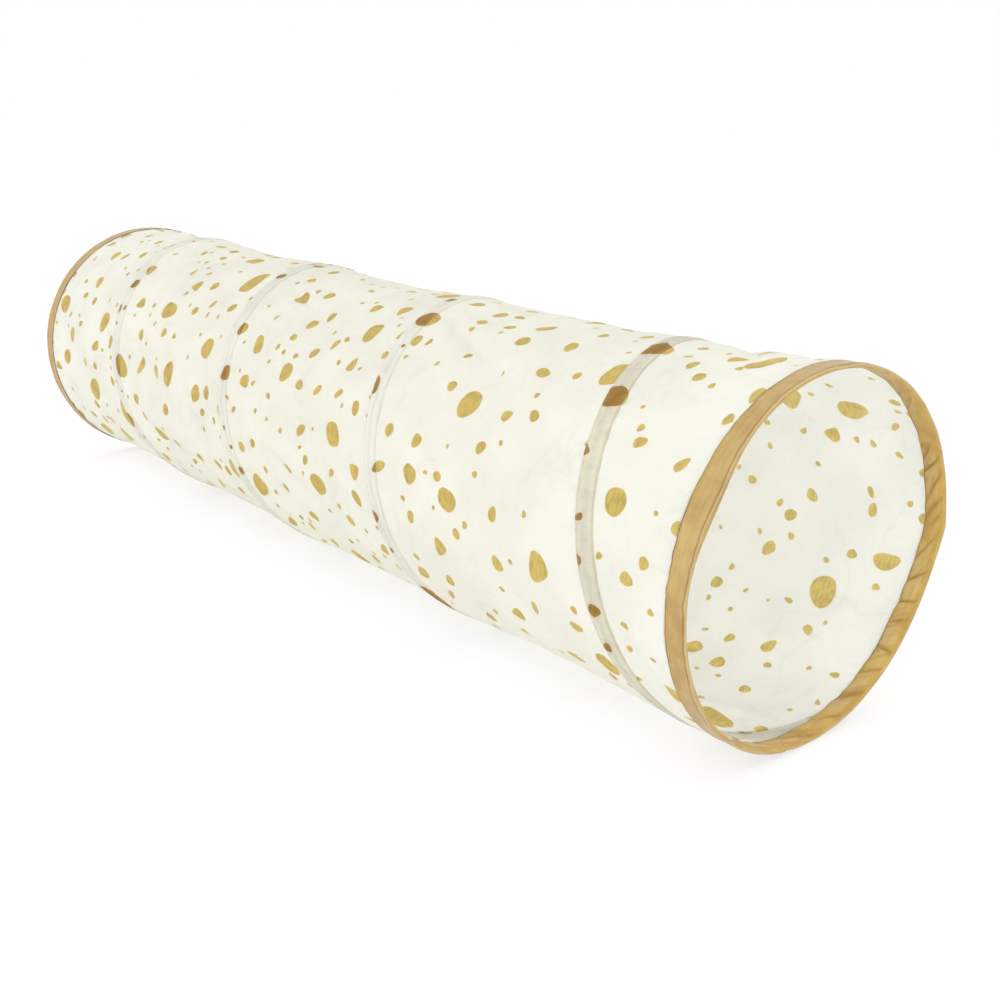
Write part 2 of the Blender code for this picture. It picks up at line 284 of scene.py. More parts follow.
def add_uv(piece, name, places):
    """A UV map with one place for each vertex."""
    mesh = piece.data
    layer = mesh.uv_layers.new(name=name)
    corners = np.zeros(len(mesh.loops), dtype=np.int32)
    mesh.loops.foreach_get("vertex_index", corners)
    flat = np.reshape(places, (-1, 2))[corners]
    layer.data.foreach_set("uv", flat.astype(np.float32).ravel())


def ring_faces(rows, count, first=0):
    """Quads through rows of closed outlines with count points each."""
    faces = []
    for row in range(rows - 1):
        base = first + row * count
        for i in range(count):
            j = (i + 1) % count
            faces.append((base + i, base + j, base + count + j, base + count + i))
    return faces


def ladder_cap(base, count, flip):
    """Quads across the end of an outline whose second half runs back along its first."""
    faces = []
    for i in range(count // 2 - 1):
        corners = (base + i, base + count - 1 - i, base + count - 2 - i, base + i + 1)
        faces.append(corners[::-1] if flip else corners)
    return faces


def cloth_solid(name, top, under, material):
    """A closed sheet between two grids of points, each rows by columns."""
    outline = np.concatenate([top, under[:, ::-1]], axis=1)
    rows, count = outline.shape[:2]
    faces = ring_faces(rows, count)
    faces += ladder_cap(0, count, False)
    faces += ladder_cap((rows - 1) * count, count, True)
    return add_mesh(name, outline, faces, material)


def sheet_places(top_places):
    """UV places of a closed sheet: those of its top, and the same ones underneath."""
    return np.concatenate([top_places, top_places[:, ::-1]], axis=1)


def tube_solid(name, outer, inner, material):
    """A closed sleeve between two rows of outlines with as many points each."""
    rows, count = outer.shape[:2]
    half = rows * count
    faces = ring_faces(rows, count)
    faces += [face[::-1] for face in ring_faces(rows, count, half)]
    for base, flip in ((0, False), ((rows - 1) * count, True)):
        for i in range(count):
            j = (i + 1) % count
            corners = (base + i, half + base + i, half + base + j, base + j)
            faces.append(corners[::-1] if flip else corners)
    points = np.concatenate([outer.reshape(-1, 3), inner.reshape(-1, 3)])
    return add_mesh(name, points, faces, material)


def rod_solid(name, line, radius, sides, material):
    """A closed rod along a line of points that goes round the tunnel."""
    line = np.asarray(line)
    forward = np.gradient(line, axis=0)
    forward /= np.linalg.norm(forward, axis=1, keepdims=True)
    outward = line - np.array([0, 0, OUTER_RADIUS])
    outward[:, 0] = 0
    outward -= forward * np.sum(outward * forward, axis=1, keepdims=True)
    outward /= np.linalg.norm(outward, axis=1, keepdims=True)
    side = np.cross(forward, outward)
    turns = np.arange(sides) * TURN / sides
    rings = (
        line[:, None]
        + radius * np.cos(turns)[None, :, None] * outward[:, None]
        + radius * np.sin(turns)[None, :, None] * side[:, None]
    )
    faces = ring_faces(len(line), sides)
    faces.append(tuple(range(sides))[::-1])
    last = (len(line) - 1) * sides
    faces.append(tuple(range(last, last + sides)))
    return add_mesh(name, rings, faces, material)


def settle(piece, body, node, anchor=None):
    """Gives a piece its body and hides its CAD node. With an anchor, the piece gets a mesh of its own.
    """
    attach(piece, body)
    if anchor is not None:
        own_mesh(piece)
    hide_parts(node)


def settle_on_turn(piece, index, node):
    """Settles a piece of one turn of the coil, with the middle of its body as anchor."""
    settle(piece, f"turn_{index}", node, coil_place(index - 0.5))


def settle_on_hem(piece, end, node):
    """Settles a piece of one hem, with its hoop as anchor."""
    hoop = HOOP_PLACE if end == "front" else -HOOP_PLACE
    settle(piece, f"{end}_end", node, hoop)


def last_panel_anchor():
    """A place along the tunnel for the last stretch of cloth, from the packed widths of a turn and of
    a hem.
    """
    reach = HOOP_PLACE * (1 - HEM_KEEP) + HEM_EDGE * (HEM_KEEP - TURN_KEEP)
    return reach / (1 - TURN_KEEP)


class Nodes:
    """Adds nodes to a material or a world and joins them."""

    def __init__(self, owner, kind="Material"):
        owner.use_nodes = True
        self.owner = owner
        self.tree = owner.node_tree
        self.tree.nodes.clear()
        self.output = self.add(f"ShaderNodeOutput{kind}")

    def add(self, kind, inputs=None, **settings):
        node = self.tree.nodes.new(kind)
        for key, value in settings.items():
            setattr(node, key, value)
        for key, value in (inputs or {}).items():
            self.feed(node.inputs[key], value)
        return node

    def feed(self, socket, value):
        if isinstance(value, bpy.types.NodeSocket):
            self.tree.links.new(value, socket)
        elif hasattr(value, "__len__") and socket.type == "RGBA" and len(value) == 3:
            socket.default_value = (*value, 1)
        else:
            socket.default_value = value

    def first(self, kind, inputs=None, **settings):
        """The first output of a new node."""
        return self.add(kind, inputs, **settings).outputs[0]

    def math(self, operation, *values):
        return self.first("ShaderNodeMath", dict(enumerate(values)), operation=operation)

    def vector(self, operation, *values):
        node = self.add("ShaderNodeVectorMath", operation=operation)
        for i, value in enumerate(values):
            name = "Scale" if operation == "SCALE" and i == 1 else i
            self.feed(node.inputs[name], value)
        return node.outputs["Value" if operation == "LENGTH" else "Vector"]

    def mix(self, share, low, high):
        inputs = {"Factor": share, "A": low, "B": high}
        node = self.tree.nodes.new("ShaderNodeMix")
        node.data_type = "RGBA"
        for socket in node.inputs:
            if socket.enabled and socket.name in inputs:
                self.feed(socket, inputs[socket.name])
        return next(socket for socket in node.outputs if socket.enabled)

    def ease(self, value, low, high, start=0.0, stop=1.0):
        """A value eased from start to stop as it goes from low to high."""
        inputs = {"Value": value, "From Min": low, "From Max": high}
        inputs |= {"To Min": start, "To Max": stop}
        return self.first("ShaderNodeMapRange", inputs, interpolation_type="SMOOTHSTEP")

    def away(self, value, middle):
        """How far a value is from a middle one."""
        return self.math("ABSOLUTE", self.math("SUBTRACT", value, middle))

    def noise(self, place, scale, detail=2.0, roughness=0.5, output="Fac"):
        """Noise whose scale is about its number of changes per metre."""
        inputs = {"Vector": place, "Scale": scale, "Detail": detail, "Roughness": roughness}
        return self.add("ShaderNodeTexNoise", inputs).outputs[output]

    def uv(self, name):
        return self.first("ShaderNodeUVMap", uv_map=name)

    def parts(self, place):
        """The separate coordinates of a place."""
        return self.add("ShaderNodeSeparateXYZ", {0: place}).outputs

    def relief(self, height, strength=1.0):
        """A normal from heights in metres."""
        inputs = {"Height": height, "Strength": strength, "Distance": 1.0}
        return self.first("ShaderNodeBump", inputs)

    def blend(self, share, first, second):
        """Two shaders blended."""
        return self.first("ShaderNodeMixShader", {0: share, 1: first, 2: second})

    def sees_white(self):
        """1 for the eye, gloss and glass, to which the studio is white, and 0 for light."""
        rays = self.add("ShaderNodeLightPath").outputs
        seen = self.math("MAXIMUM", rays["Is Camera Ray"], rays["Is Glossy Ray"])
        return self.math("MAXIMUM", seen, rays["Is Transmission Ray"])

    def show(self, shader):
        self.feed(self.output.inputs["Surface"], shader)
        return self.owner


def material_nodes(name):
    return Nodes(bpy.data.materials.new(name))


class SpotLayer:
    """One size of spot in the print: one in each cell of a jittered net, or none."""

    SEED_SKEW = 0.7
    DRAW_FOLD = 7.31  # folds two of a cell's draws into one more

    def __init__(self, cell, radii, share, jitter, seed):
        self.cell = cell
        self.radii = radii
        self.share = share
        self.jitter = jitter
        self.seed = seed

    def cells(self, nodes, place):
        """A place's offset from its cell's point, and the cell's three draws."""
        shifted = nodes.vector("ADD", place, (self.seed, self.seed * self.SEED_SKEW, 0))
        inputs = {"Vector": shifted, "Scale": 1 / self.cell, "Randomness": self.jitter}
        net = nodes.add("ShaderNodeTexVoronoi", inputs, voronoi_dimensions="2D")
        offset = nodes.vector("SUBTRACT", shifted, net.outputs["Position"])
        draws = nodes.add("ShaderNodeSeparateColor", {"Color": net.outputs["Color"]})
        return offset, draws.outputs

    def size(self, nodes, draws):
        low, high = self.radii
        return nodes.math("MULTIPLY_ADD", draws[1], high - low, low)

    def present(self, nodes, draws):
        """1 in the share of the cells that have a spot."""
        folded = nodes.math("MULTIPLY_ADD", draws[0], self.DRAW_FOLD, draws[2])
        return nodes.math("LESS_THAN", nodes.math("FRACT", folded), self.share)


# Real sizes of the print, in metres, and the shapes of its spots as shares of their radii
LARGE_SPOTS = SpotLayer(0.145, (0.0150, 0.0215), 0.66, 0.66, 3.17)
MEDIUM_SPOTS = SpotLayer(0.066, (0.0066, 0.0108), 0.74, 0.72, 8.41)
SMALL_SPOTS = SpotLayer(0.042, (0.0029, 0.0052), 0.44, 0.80, 5.93)
SPOT_SOFTNESS = 0.0004
SPOT_CLEARANCE = 0.006
SPOT_REACH = 1.35  # how far a spot may reach
SPOT_STRETCH = 0.55
STRETCH_POWER = 1.6  # keeps most spots near round
SPOT_TAPER = 0.30
SPOT_LOBES = 0.80
LOBE_SCALE = 0.55
LOBE_KEYS = 40.0
NET_DRIFT = 0.024  # how far the net is warped, and how often a metre
NET_DRIFT_SCALE = 14.0
NOISE_MIDDLE = 0.5


def spot_shape(nodes, layer, place):
    """How much a place lies in a spot of the layer, from 0 to 1, and that spot's centre."""
    offset, draws = layer.cells(nodes, place)
    size = layer.size(nodes, draws)
    inputs = {"Vector": offset, "Angle": nodes.math("MULTIPLY", draws[0], TURN)}
    axes = nodes.parts(nodes.first("ShaderNodeVectorRotate", inputs, rotation_type="Z_AXIS"))
    stretch = nodes.math("POWER", draws[2], STRETCH_POWER)
    stretch = nodes.math("MULTIPLY_ADD", stretch, SPOT_STRETCH, 1.0)
    length = nodes.math("DIVIDE", axes[0], nodes.math("MULTIPLY", size, stretch))
    taper = nodes.math("MULTIPLY", draws[1], SPOT_TAPER)
    taper = nodes.math("MULTIPLY_ADD", length, taper, 1.0)
    width = nodes.math("DIVIDE", nodes.math("MULTIPLY", axes[1], taper), size)
    key = nodes.math("MULTIPLY", draws[0], LOBE_KEYS)
    flat = nodes.first("ShaderNodeCombineXYZ", {0: length, 1: width})
    keyed = nodes.first("ShaderNodeCombineXYZ", {0: length, 1: width, 2: key})
    lobes = nodes.noise(keyed, LOBE_SCALE, 0.0)
    lobes = nodes.math("MULTIPLY_ADD", lobes, SPOT_LOBES, -SPOT_LOBES * NOISE_MIDDLE)
    reach = nodes.math("ADD", nodes.vector("LENGTH", flat), lobes)
    soft = nodes.math("DIVIDE", SPOT_SOFTNESS, size)
    inside = nodes.ease(reach, nodes.math("ADD", 1.0, soft), nodes.math("SUBTRACT", 1.0, soft))
    centre = nodes.vector("SUBTRACT", place, offset)
    return nodes.math("MULTIPLY", inside, layer.present(nodes, draws)), centre


def clear_of(nodes, layer, centre, margin):
    """1 where a smaller spot's centre keeps clear of the larger spots of a layer."""
    offset, draws = layer.cells(nodes, centre)
    needed = nodes.math("MULTIPLY_ADD", layer.size(nodes, draws), SPOT_REACH, margin)
    apart = nodes.math("GREATER_THAN", nodes.vector("LENGTH", offset), needed)
    absent = nodes.math("SUBTRACT", 1.0, layer.present(nodes, draws))
    return nodes.math("MAXIMUM", apart, absent)


def spot_print(nodes, place):
    """The irregular ochre print, 1 in a spot and 0 beside it."""
    drift = nodes.noise(place, NET_DRIFT_SCALE, 1.0, output="Color")
    drift = nodes.vector("SUBTRACT", drift, (NOISE_MIDDLE,) * 3)
    place = nodes.vector("ADD", place, nodes.vector("SCALE", drift, NET_DRIFT))
    place = nodes.vector("MULTIPLY", place, (1, 1, 0))
    large, _ = spot_shape(nodes, LARGE_SPOTS, place)
    medium, middle = spot_shape(nodes, MEDIUM_SPOTS, place)
    small, centre = spot_shape(nodes, SMALL_SPOTS, place)
    margin = SPOT_CLEARANCE + MEDIUM_SPOTS.radii[1]
    medium = nodes.math("MULTIPLY", medium, clear_of(nodes, LARGE_SPOTS, middle, margin))
    margin = SPOT_CLEARANCE + SMALL_SPOTS.radii[1] / 2
    for layer in (LARGE_SPOTS, MEDIUM_SPOTS):
        small = nodes.math("MULTIPLY", small, clear_of(nodes, layer, centre, margin))
    return nodes.math("MAXIMUM", nodes.math("MAXIMUM", large, medium), small)


# The cloths' weave and creases: noise scales are changes per metre, heights are metres
WEAVE_SCALE = 1300.0
WEAVE_BREAK = 0.6
WEAVE_HEIGHT = 0.00002
CREASE_SCALE = 46.0
COVER_CREASE_HEIGHT = 0.0034
COVER_RELIEF = 0.60
BINDING_CREASE_HEIGHT = 0.0014
BINDING_RELIEF = 0.7


def weave_bump(nodes, place, crinkle, strength):
    """A normal from a fine plain weave and soft creases."""
    inputs = {"Vector": place, "Scale": WEAVE_SCALE, "Distortion": WEAVE_BREAK}
    warp, weft = (
        nodes.add("ShaderNodeTexWave", inputs, bands_direction=way).outputs["Fac"] for way in "XY"
    )
    threads = nodes.math("MULTIPLY", nodes.math("ADD", warp, weft), WEAVE_HEIGHT)
    sharp = nodes.away(nodes.noise(place, CREASE_SCALE, 4.0, 0.55), NOISE_MIDDLE)
    return nodes.relief(nodes.math("MULTIPLY_ADD", sharp, crinkle, threads), strength)


def thin_cloth(nodes, through, facing, behind):
    """Cloth with one finish by the light on it and another by light from behind."""
    surface = nodes.first("ShaderNodeBsdfPrincipled", facing)
    glow = nodes.first("ShaderNodeBsdfTranslucent", behind)
    return nodes.show(nodes.blend(through, surface, glow))


# The printed cloth's tones, as shares of its colours
COVER_THROUGH = 0.70  # how much of what it shows is light from behind
LAP_THROUGH = 0.66
MOTTLE_SCALE = 9.0
MOTTLE_LOW = 0.965
INK_SCALE = 330.0
INK_STREAK = (1.0, 0.22, 1.0)
INK_RANGE = (0.30, 0.66, 0.90, 1.04)
WASH_SCALE = 34.0
WASH_RANGE = (0.34, 0.62, 0.95, 1.03)

# Fine creases: how the sheet is stretched, its scale and the tone along a crease
FINE_CREASES = (((1.0, 0.30, 1.0), 24.0, 0.972), ((0.45, 0.8, 1.0), 17.0, 0.980))
FINE_CREASE_HALF = 0.022
CREASE_PATCH_RANGE = (0.50, 0.62)

# The lap is painted darker for its last turn, most at its far edge: painted shade of the doubled
# cloth, which lets less light through
LAP_SHADE_PLACES = (4.02 * TURN * OUTER_RADIUS, 4.40 * TURN * OUTER_RADIUS)
LAP_EDGE = (0.80, 0.72, 0.54)
LAP_PRINT_SHADE = (0.90, 0.82, 0.74)  # the print is painted browner on the lap: painted shade of the doubled cloth
LAP_LIT = 0.96
LAP_FRAY = 0.16
LAP_FRAY_SCALE = 190.0
LAP_EDGE_RANGE = (0.86, 0.99, 0.0, 0.22)
LAP_DARK_RANGE = (0.78, 0.97, 0.0, 0.46)
LAP_FAR_SHADE = 0.4  # how much of the edge's tone shows before the last turn
# Painted shade of the puckers that cross the lap: how its noise is stretched, its scale and its tones
RUMPLE_STREAK = (0.45, 1.0, 1.0)
RUMPLE_SCALE = 85.0
RUMPLE_RANGE = (0.36, 0.60, 0.93, 1.03)


def crease_shade(nodes, place):
    """A little darker along fine creases, which come in patches."""
    shade = 1.0
    for stretch, scale, low in FINE_CREASES:
        sheet = nodes.noise(nodes.vector("MULTIPLY", place, stretch), scale, 1.5)
        off = nodes.away(sheet, NOISE_MIDDLE)
        patch = nodes.ease(nodes.noise(place, 5.0 + scale / 8, 1.0), *CREASE_PATCH_RANGE)
        line = nodes.math("MULTIPLY", nodes.ease(off, FINE_CREASE_HALF, 0.0), patch)
        line = nodes.math("MULTIPLY_ADD", line, low - 1.0, 1.0)
        shade = nodes.math("MULTIPLY", shade, line)
    return shade


def ink_tone(nodes, place):
    """Thinner and thicker ink, drawn out along the weave, in washes."""
    streaks = nodes.noise(nodes.vector("MULTIPLY", place, INK_STREAK), INK_SCALE, 3.0)
    wash = nodes.ease(nodes.noise(place, WASH_SCALE, 2.0), *WASH_RANGE)
    return nodes.math("MULTIPLY", nodes.ease(streaks, *INK_RANGE), wash)


def lap_tones(nodes, place, mottle, ground, lit):
    """The lap's colours by the light on it and from behind: darker edges, and painted shade over its
    last turn.
    """
    lanes = nodes.parts(nodes.uv("Lane"))
    fray = nodes.noise(place, LAP_FRAY_SCALE, 2.0)
    start = nodes.math("SUBTRACT", lanes[0], LAP_FRAY * NOISE_MIDDLE)
    across = nodes.math("MULTIPLY_ADD", fray, LAP_FRAY, start)
    near_turn = nodes.ease(lanes[1], *LAP_SHADE_PLACES)
    edge = nodes.ease(nodes.math("ABSOLUTE", across), *LAP_EDGE_RANGE)
    dark = nodes.ease(across, *LAP_DARK_RANGE)
    shade = nodes.math("MULTIPLY_ADD", near_turn, 1.0 - LAP_FAR_SHADE, LAP_FAR_SHADE)
    shade = nodes.math("MULTIPLY", nodes.math("MAXIMUM", edge, dark), shade)
    # painted shade of the puckers that cross the lap
    rumple_shade = nodes.vector("MULTIPLY", place, RUMPLE_STREAK)
    rumple_shade = nodes.ease(nodes.noise(rumple_shade, RUMPLE_SCALE, 3.0, 0.6), *RUMPLE_RANGE)
    channel = tuple(bpy.context.scene.tunnel_colours.channel)
    lap = nodes.vector("SCALE", channel, nodes.math("MULTIPLY", rumple_shade, mottle))
    ground = nodes.mix(shade, nodes.mix(near_turn, ground, lap), LAP_EDGE)
    # painted shade: the light through the last turn is dimmed as well
    lit = nodes.mix(near_turn, lit, [LAP_LIT * part for part in lit])
    return ground, nodes.mix(shade, lit, LAP_EDGE)


def printed_material(name, through, lap=False):
    """Thin printed cloth that lets light through, single or lapped."""
    colours = bpy.context.scene.tunnel_colours
    nodes = material_nodes(name)
    place = nodes.uv("Print")
    mottle = nodes.ease(nodes.noise(place, MOTTLE_SCALE, 3.0), 0.3, 0.7, MOTTLE_LOW, 1.0)
    mottle = nodes.math("MULTIPLY", mottle, crease_shade(nodes, place))
    ink = ink_tone(nodes, place)
    ground = nodes.vector("SCALE", tuple(colours.cloth), mottle)
    lit = tuple(colours.cloth_lit)
    prints = [nodes.vector("SCALE", tuple(ochre), ink) for ochre in (colours.spot, colours.spot_lit)]
    if lap:
        ground, lit = lap_tones(nodes, place, mottle, ground, lit)
        # painted shade: the print is browner on the doubled lap
        prints = [nodes.vector("MULTIPLY", ochre, LAP_PRINT_SHADE) for ochre in prints]
    spots = spot_print(nodes, place)
    lit = nodes.mix(spots, nodes.vector("SCALE", lit, mottle), prints[1])
    normal = weave_bump(nodes, place, COVER_CREASE_HEIGHT, COVER_RELIEF)
    facing = {
        "Base Color": nodes.mix(spots, ground, prints[0]),
        "Roughness": 0.52,
        "Normal": normal,
        "Specular IOR Level": 0.32,
        "Sheen Weight": 0.12,
        "Sheen Roughness": 0.4,
    }
    return thin_cloth(nodes, through, facing, {"Color": lit, "Normal": normal})


# The binding's places run across it in metres, from its outer edge to its inner one
BINDING_THROUGH = 0.22
INNER_LEG_LIGHT = (1.2, 1.16, 0.84)  # painted light: the inner leg lighter and yellower than the outer one
# Streaks along the hem and clouds: partly the satin's own uneven tone, partly painted shade of its
# wrinkles
SATIN_STREAK = (260.0, 16.0, 1.0)
SATIN_CLOUD_SCALE = 38.0
SATIN_STREAK_SHARE = 0.35
SATIN_RANGE = (0.36, 0.66, 0.0, 0.55)
ROUND_HEM = (0.0, 1.0, 0.0)  # keeps only the place round the hem
# The turned edges are darker, with painted shade along them: how they wander, how far in they reach
# and how evenly along the hem
EDGE_FRAY = 0.0012
EDGE_FRAY_SCALE = 210.0
EDGE_RANGE = (0.0014, 0.0026, 1.0, 0.0)
EDGE_UNEVEN_SCALE = 9.0
EDGE_UNEVEN_RANGE = (0.42, 0.62, 0.35, 0.90)
LIP_WANDER = 0.0020
LIP_WANDER_SCALE = 24.0
# painted highlight over the lip
LIP_HIGHLIGHT_RANGE = (0.0006, 0.0019, 0.48, 0.0)
LIP_SHADE_INSET = 0.0026  # a painted shade line beside the hoop, short of the lip
LIP_SHADE_RANGE = (0.0003, 0.0013, 0.50, 0.0)
INNER_LEG_RANGE = (0.0010, 0.0050)
FOLD_SHADE_RANGE = (0.10, 0.95, 0.0, 0.72)
FOLD_SHEEN_RANGE = (0.35, 0.95, 0.0, 0.45)


def binding_material(name):
    """Satin binding: golden tan, streaked along the hem, with painted shade in its creases and along
    its darker turned edges, and painted light over the lip, on its ridges and on its inner leg.
    """
    colours = bpy.context.scene.tunnel_colours
    dark, pale = tuple(colours.binding_dark), tuple(colours.binding_highlight)
    nodes = material_nodes(name)
    place = nodes.uv("Lane")
    # partly uneven tone, partly painted shade of wrinkles
    streaks = nodes.noise(nodes.vector("MULTIPLY", place, SATIN_STREAK), 1.0, 3.0)
    cloud = nodes.noise(place, SATIN_CLOUD_SCALE, 3.0)
    cloud = nodes.math("MULTIPLY", cloud, 1.0 - SATIN_STREAK_SHARE)
    satin = nodes.math("MULTIPLY_ADD", streaks, SATIN_STREAK_SHARE, cloud)
    satin = nodes.ease(satin, *SATIN_RANGE)
    across = nodes.parts(place)[0]
    from_edge = nodes.math("MINIMUM", across, nodes.math("SUBTRACT", 2.0 * HEM_WIDTH, across))
    fray = nodes.noise(place, EDGE_FRAY_SCALE, 2.0)
    from_edge = nodes.math("MULTIPLY_ADD", fray, EDGE_FRAY, from_edge)
    round_hem = nodes.vector("MULTIPLY", place, ROUND_HEM)
    # darker turned edges with painted shade along them, stronger and weaker along the hem
    edge_unevenness = nodes.ease(nodes.noise(round_hem, EDGE_UNEVEN_SCALE, 2.0), *EDGE_UNEVEN_RANGE)
    edge = nodes.math("MULTIPLY", nodes.ease(from_edge, *EDGE_RANGE), edge_unevenness)
    wander = nodes.noise(round_hem, LIP_WANDER_SCALE, 2.0)
    from_lip = nodes.math("SUBTRACT", across, HEM_WIDTH)
    from_lip = nodes.math("MULTIPLY_ADD", wander, LIP_WANDER, from_lip)
    # a painted shade line short of the lip
    from_lip_shade = nodes.math("ABSOLUTE", nodes.math("ADD", from_lip, LIP_SHADE_INSET))
    edge = nodes.math("MAXIMUM", edge, nodes.ease(from_lip_shade, *LIP_SHADE_RANGE))
    # the Fold map: painted shade in the creases, painted highlight on the ridges
    folds = nodes.parts(nodes.uv("Fold"))
    crease = nodes.ease(folds[0], *FOLD_SHADE_RANGE)
    sheen = nodes.ease(folds[1], *FOLD_SHEEN_RANGE)
    # painted highlight over the lip, taken away in the painted shade of the creases
    rim = nodes.ease(nodes.math("ABSOLUTE", from_lip), *LIP_HIGHLIGHT_RANGE)
    rim = nodes.math("MULTIPLY", rim, nodes.math("SUBTRACT", 1.0, crease))
    colour = nodes.mix(satin, tuple(colours.binding), dark)
    # painted light: the inner leg is painted lighter and yellower
    inner_leg_light = nodes.vector("MULTIPLY", colour, INNER_LEG_LIGHT)
    colour = nodes.mix(nodes.ease(from_lip, *INNER_LEG_RANGE), colour, inner_leg_light)
    # painted shade in the creases, then painted highlights over the lip and on the ridges
    colour = nodes.mix(crease, colour, dark)
    colour = nodes.mix(nodes.math("MAXIMUM", rim, sheen), colour, pale)
    # darker turned edges with painted shade along them, and the painted shade line short of the lip
    colour = nodes.mix(edge, colour, tuple(colours.binding_edge_and_shade))
    facing = {
        "Base Color": colour,
        "Roughness": 0.36,
        "Normal": weave_bump(nodes, place, BINDING_CREASE_HEIGHT, BINDING_RELIEF),
        "Specular IOR Level": 0.55,
        "Anisotropic": 0.35,
        "Sheen Weight": 0.25,
        "Sheen Roughness": 0.35,
    }
    return thin_cloth(nodes, BINDING_THROUGH, facing, {"Color": colour})


# Thread and metal: noise scales are changes per metre, heights are metres
THREAD_FLECK_SCALE = 900.0
THREAD_FLECK_HEIGHT = 0.0001
THREAD_PALE = 1.15
PATCH_SCALE = 60.0
PATCH_TONE = 0.8
SCRATCH_SCALE = 1500.0
SCRATCH_HEIGHT = 0.00004
WIRE_ROUGHNESS = 0.34
SLEEVE_ROUGHNESS = 0.46
DRAWN_SMOOTHER = 0.08
DULL_ROUGHER = 0.10


def thread_material(name, colour):
    """Twisted thread, flecked lighter and darker."""
    nodes = material_nodes(name)
    place = nodes.add("ShaderNodeTexCoord").outputs["Object"]
    fleck = nodes.noise(place, THREAD_FLECK_SCALE, 2.0)
    pale = [min(1, THREAD_PALE * part) for part in colour]
    colour = nodes.mix(nodes.ease(fleck, 0.35, 0.65), tuple(colour), pale)
    normal = nodes.relief(nodes.math("MULTIPLY", fleck, THREAD_FLECK_HEIGHT))
    inputs = {"Base Color": colour, "Roughness": 0.6, "Normal": normal, "Sheen Weight": 0.2}
    return nodes.show(nodes.first("ShaderNodeBsdfPrincipled", inputs))


def metal_material(name, colour, roughness):
    """Drawn metal with fine scratches and duller patches."""
    nodes = material_nodes(name)
    place = nodes.add("ShaderNodeTexCoord").outputs["Object"]
    patches = nodes.noise(place, PATCH_SCALE, 3.0)
    dull = [PATCH_TONE * part for part in colour]
    tint = nodes.mix(nodes.ease(patches, 0.35, 0.65), dull, tuple(colour))
    rough = (roughness - DRAWN_SMOOTHER, roughness + DULL_ROUGHER)
    rough = nodes.ease(patches, 0.3, 0.7, *rough)
    scratches = nodes.noise(place, SCRATCH_SCALE, 2.0)
    normal = nodes.relief(nodes.math("MULTIPLY", scratches, SCRATCH_HEIGHT))
    inputs = {"Base Color": tint, "Metallic": 1.0, "Roughness": rough, "Normal": normal}
    return nodes.show(nodes.first("ShaderNodeBsdfPrincipled", inputs))


def finish(name):
    """A material by name, made when it is first asked for."""
    if name in bpy.data.materials:
        return bpy.data.materials[name]
    colours = bpy.context.scene.tunnel_colours
    makers = {
        "printed_cloth_strip": (printed_material, COVER_THROUGH),
        "channel_cloth_lap": (printed_material, LAP_THROUGH, True),
        "hem_binding_satin": (binding_material,),
        "channel_thread": (thread_material, colours.thread),
        "hem_thread": (thread_material, colours.hem_thread),
        "drawn_spring_steel": (metal_material, colours.steel, WIRE_ROUGHNESS),
        "pressed_crimp_metal": (metal_material, colours.steel, SLEEVE_ROUGHNESS),
    }
    maker, *values = makers[name]
    return maker(name, *values)


# Radii of the layers that lie on each other at the coil, and how the strip meets its edges
PANEL_RADIUS = 0.2382
CHANNEL_TOP = 0.2391
PANEL_TUCK = 0.0025
PANEL_IN_HEM = 0.010
LEAST_WIDTH = 0.002


class Crease:
    """One slanting tension fold that starts at a turn of the coil and fades out."""

    STARTS = (-0.05, -0.02, 0.0, 0.22, 0.4)  # most start at the coil

    def __init__(self, draw, angle):
        self.angle = angle
        self.lean = draw.uniform(0.55, 1.05)
        self.width = draw.uniform(0.055, 0.15)
        self.depth = draw.uniform(0.25, 1.0) ** 1.6
        self.start = draw.choice(self.STARTS)
        self.reach = draw.uniform(0.45, 0.95)
        self.bend = draw.uniform(-0.25, 0.25)

    def drop(self, angles, shares):
        """How far the cloth is drawn in, as a share of the deepest fold."""
        along = (shares - self.start) / self.reach
        line = self.angle + self.lean * shares + self.bend * shares * (1 - shares)
        off = (angles - line) / (self.width * (0.75 + 0.6 * shares))
        shape = np.exp(-np.abs(off) ** 1.5) - 0.45 * bump(off + 1.9) - 0.3 * bump(off - 2.2)
        fade = smooth(along * 3.2) * smooth((1 - along) * 1.9)
        return self.depth * shape * fade


CREASE_SEED = 41
SPARE_TURNS = 1.4  # creases past the coil's ends, for the strip's ends
FIRST_CREASE = -1.6
CREASE_JITTER = 0.4


def make_creases(per_turn):
    """The creases of the whole strip, from its first turn to its last."""
    draw = random.Random(CREASE_SEED)
    count = int(per_turn * (COIL_TURNS + SPARE_TURNS))
    gap = TURN / max(1, per_turn)
    places = (i + draw.uniform(-CREASE_JITTER, CREASE_JITTER) for i in range(count))
    return [Crease(draw, place * gap + FIRST_CREASE) for place in places]


def panel_rows(angles, sizes):
    """The strip's two edges at each angle, and the supports it is drawn in between."""
    turns = angles / TURN
    half = sizes.channel_width / 2
    stop = HEM_EDGE + PANEL_IN_HEM
    left = np.maximum(-stop, coil_place(turns - 1) + half - PANEL_TUCK)
    right = np.minimum(stop, coil_place(turns) - half + PANEL_TUCK)
    near = np.clip(coil_place(turns - 1) + half, -HEM_EDGE, right)
    far = np.clip(coil_place(turns) - half, left, HEM_EDGE)
    near = np.maximum(near, left)
    far = np.minimum(np.maximum(far, near), right)
    return left, near, far, right


PANEL_COLUMNS = 57
PANEL_SHARES = np.sin(np.linspace(-0.5, 0.5, PANEL_COLUMNS) * math.pi) / 2 + 0.5
PANEL_SEED = 2.5
HOLD_REACH = 0.05  # how far from a seam the cloth hangs free
FOLD_LIMITS = (-0.7, 1.6)
MOST_PROUD = 0.0012

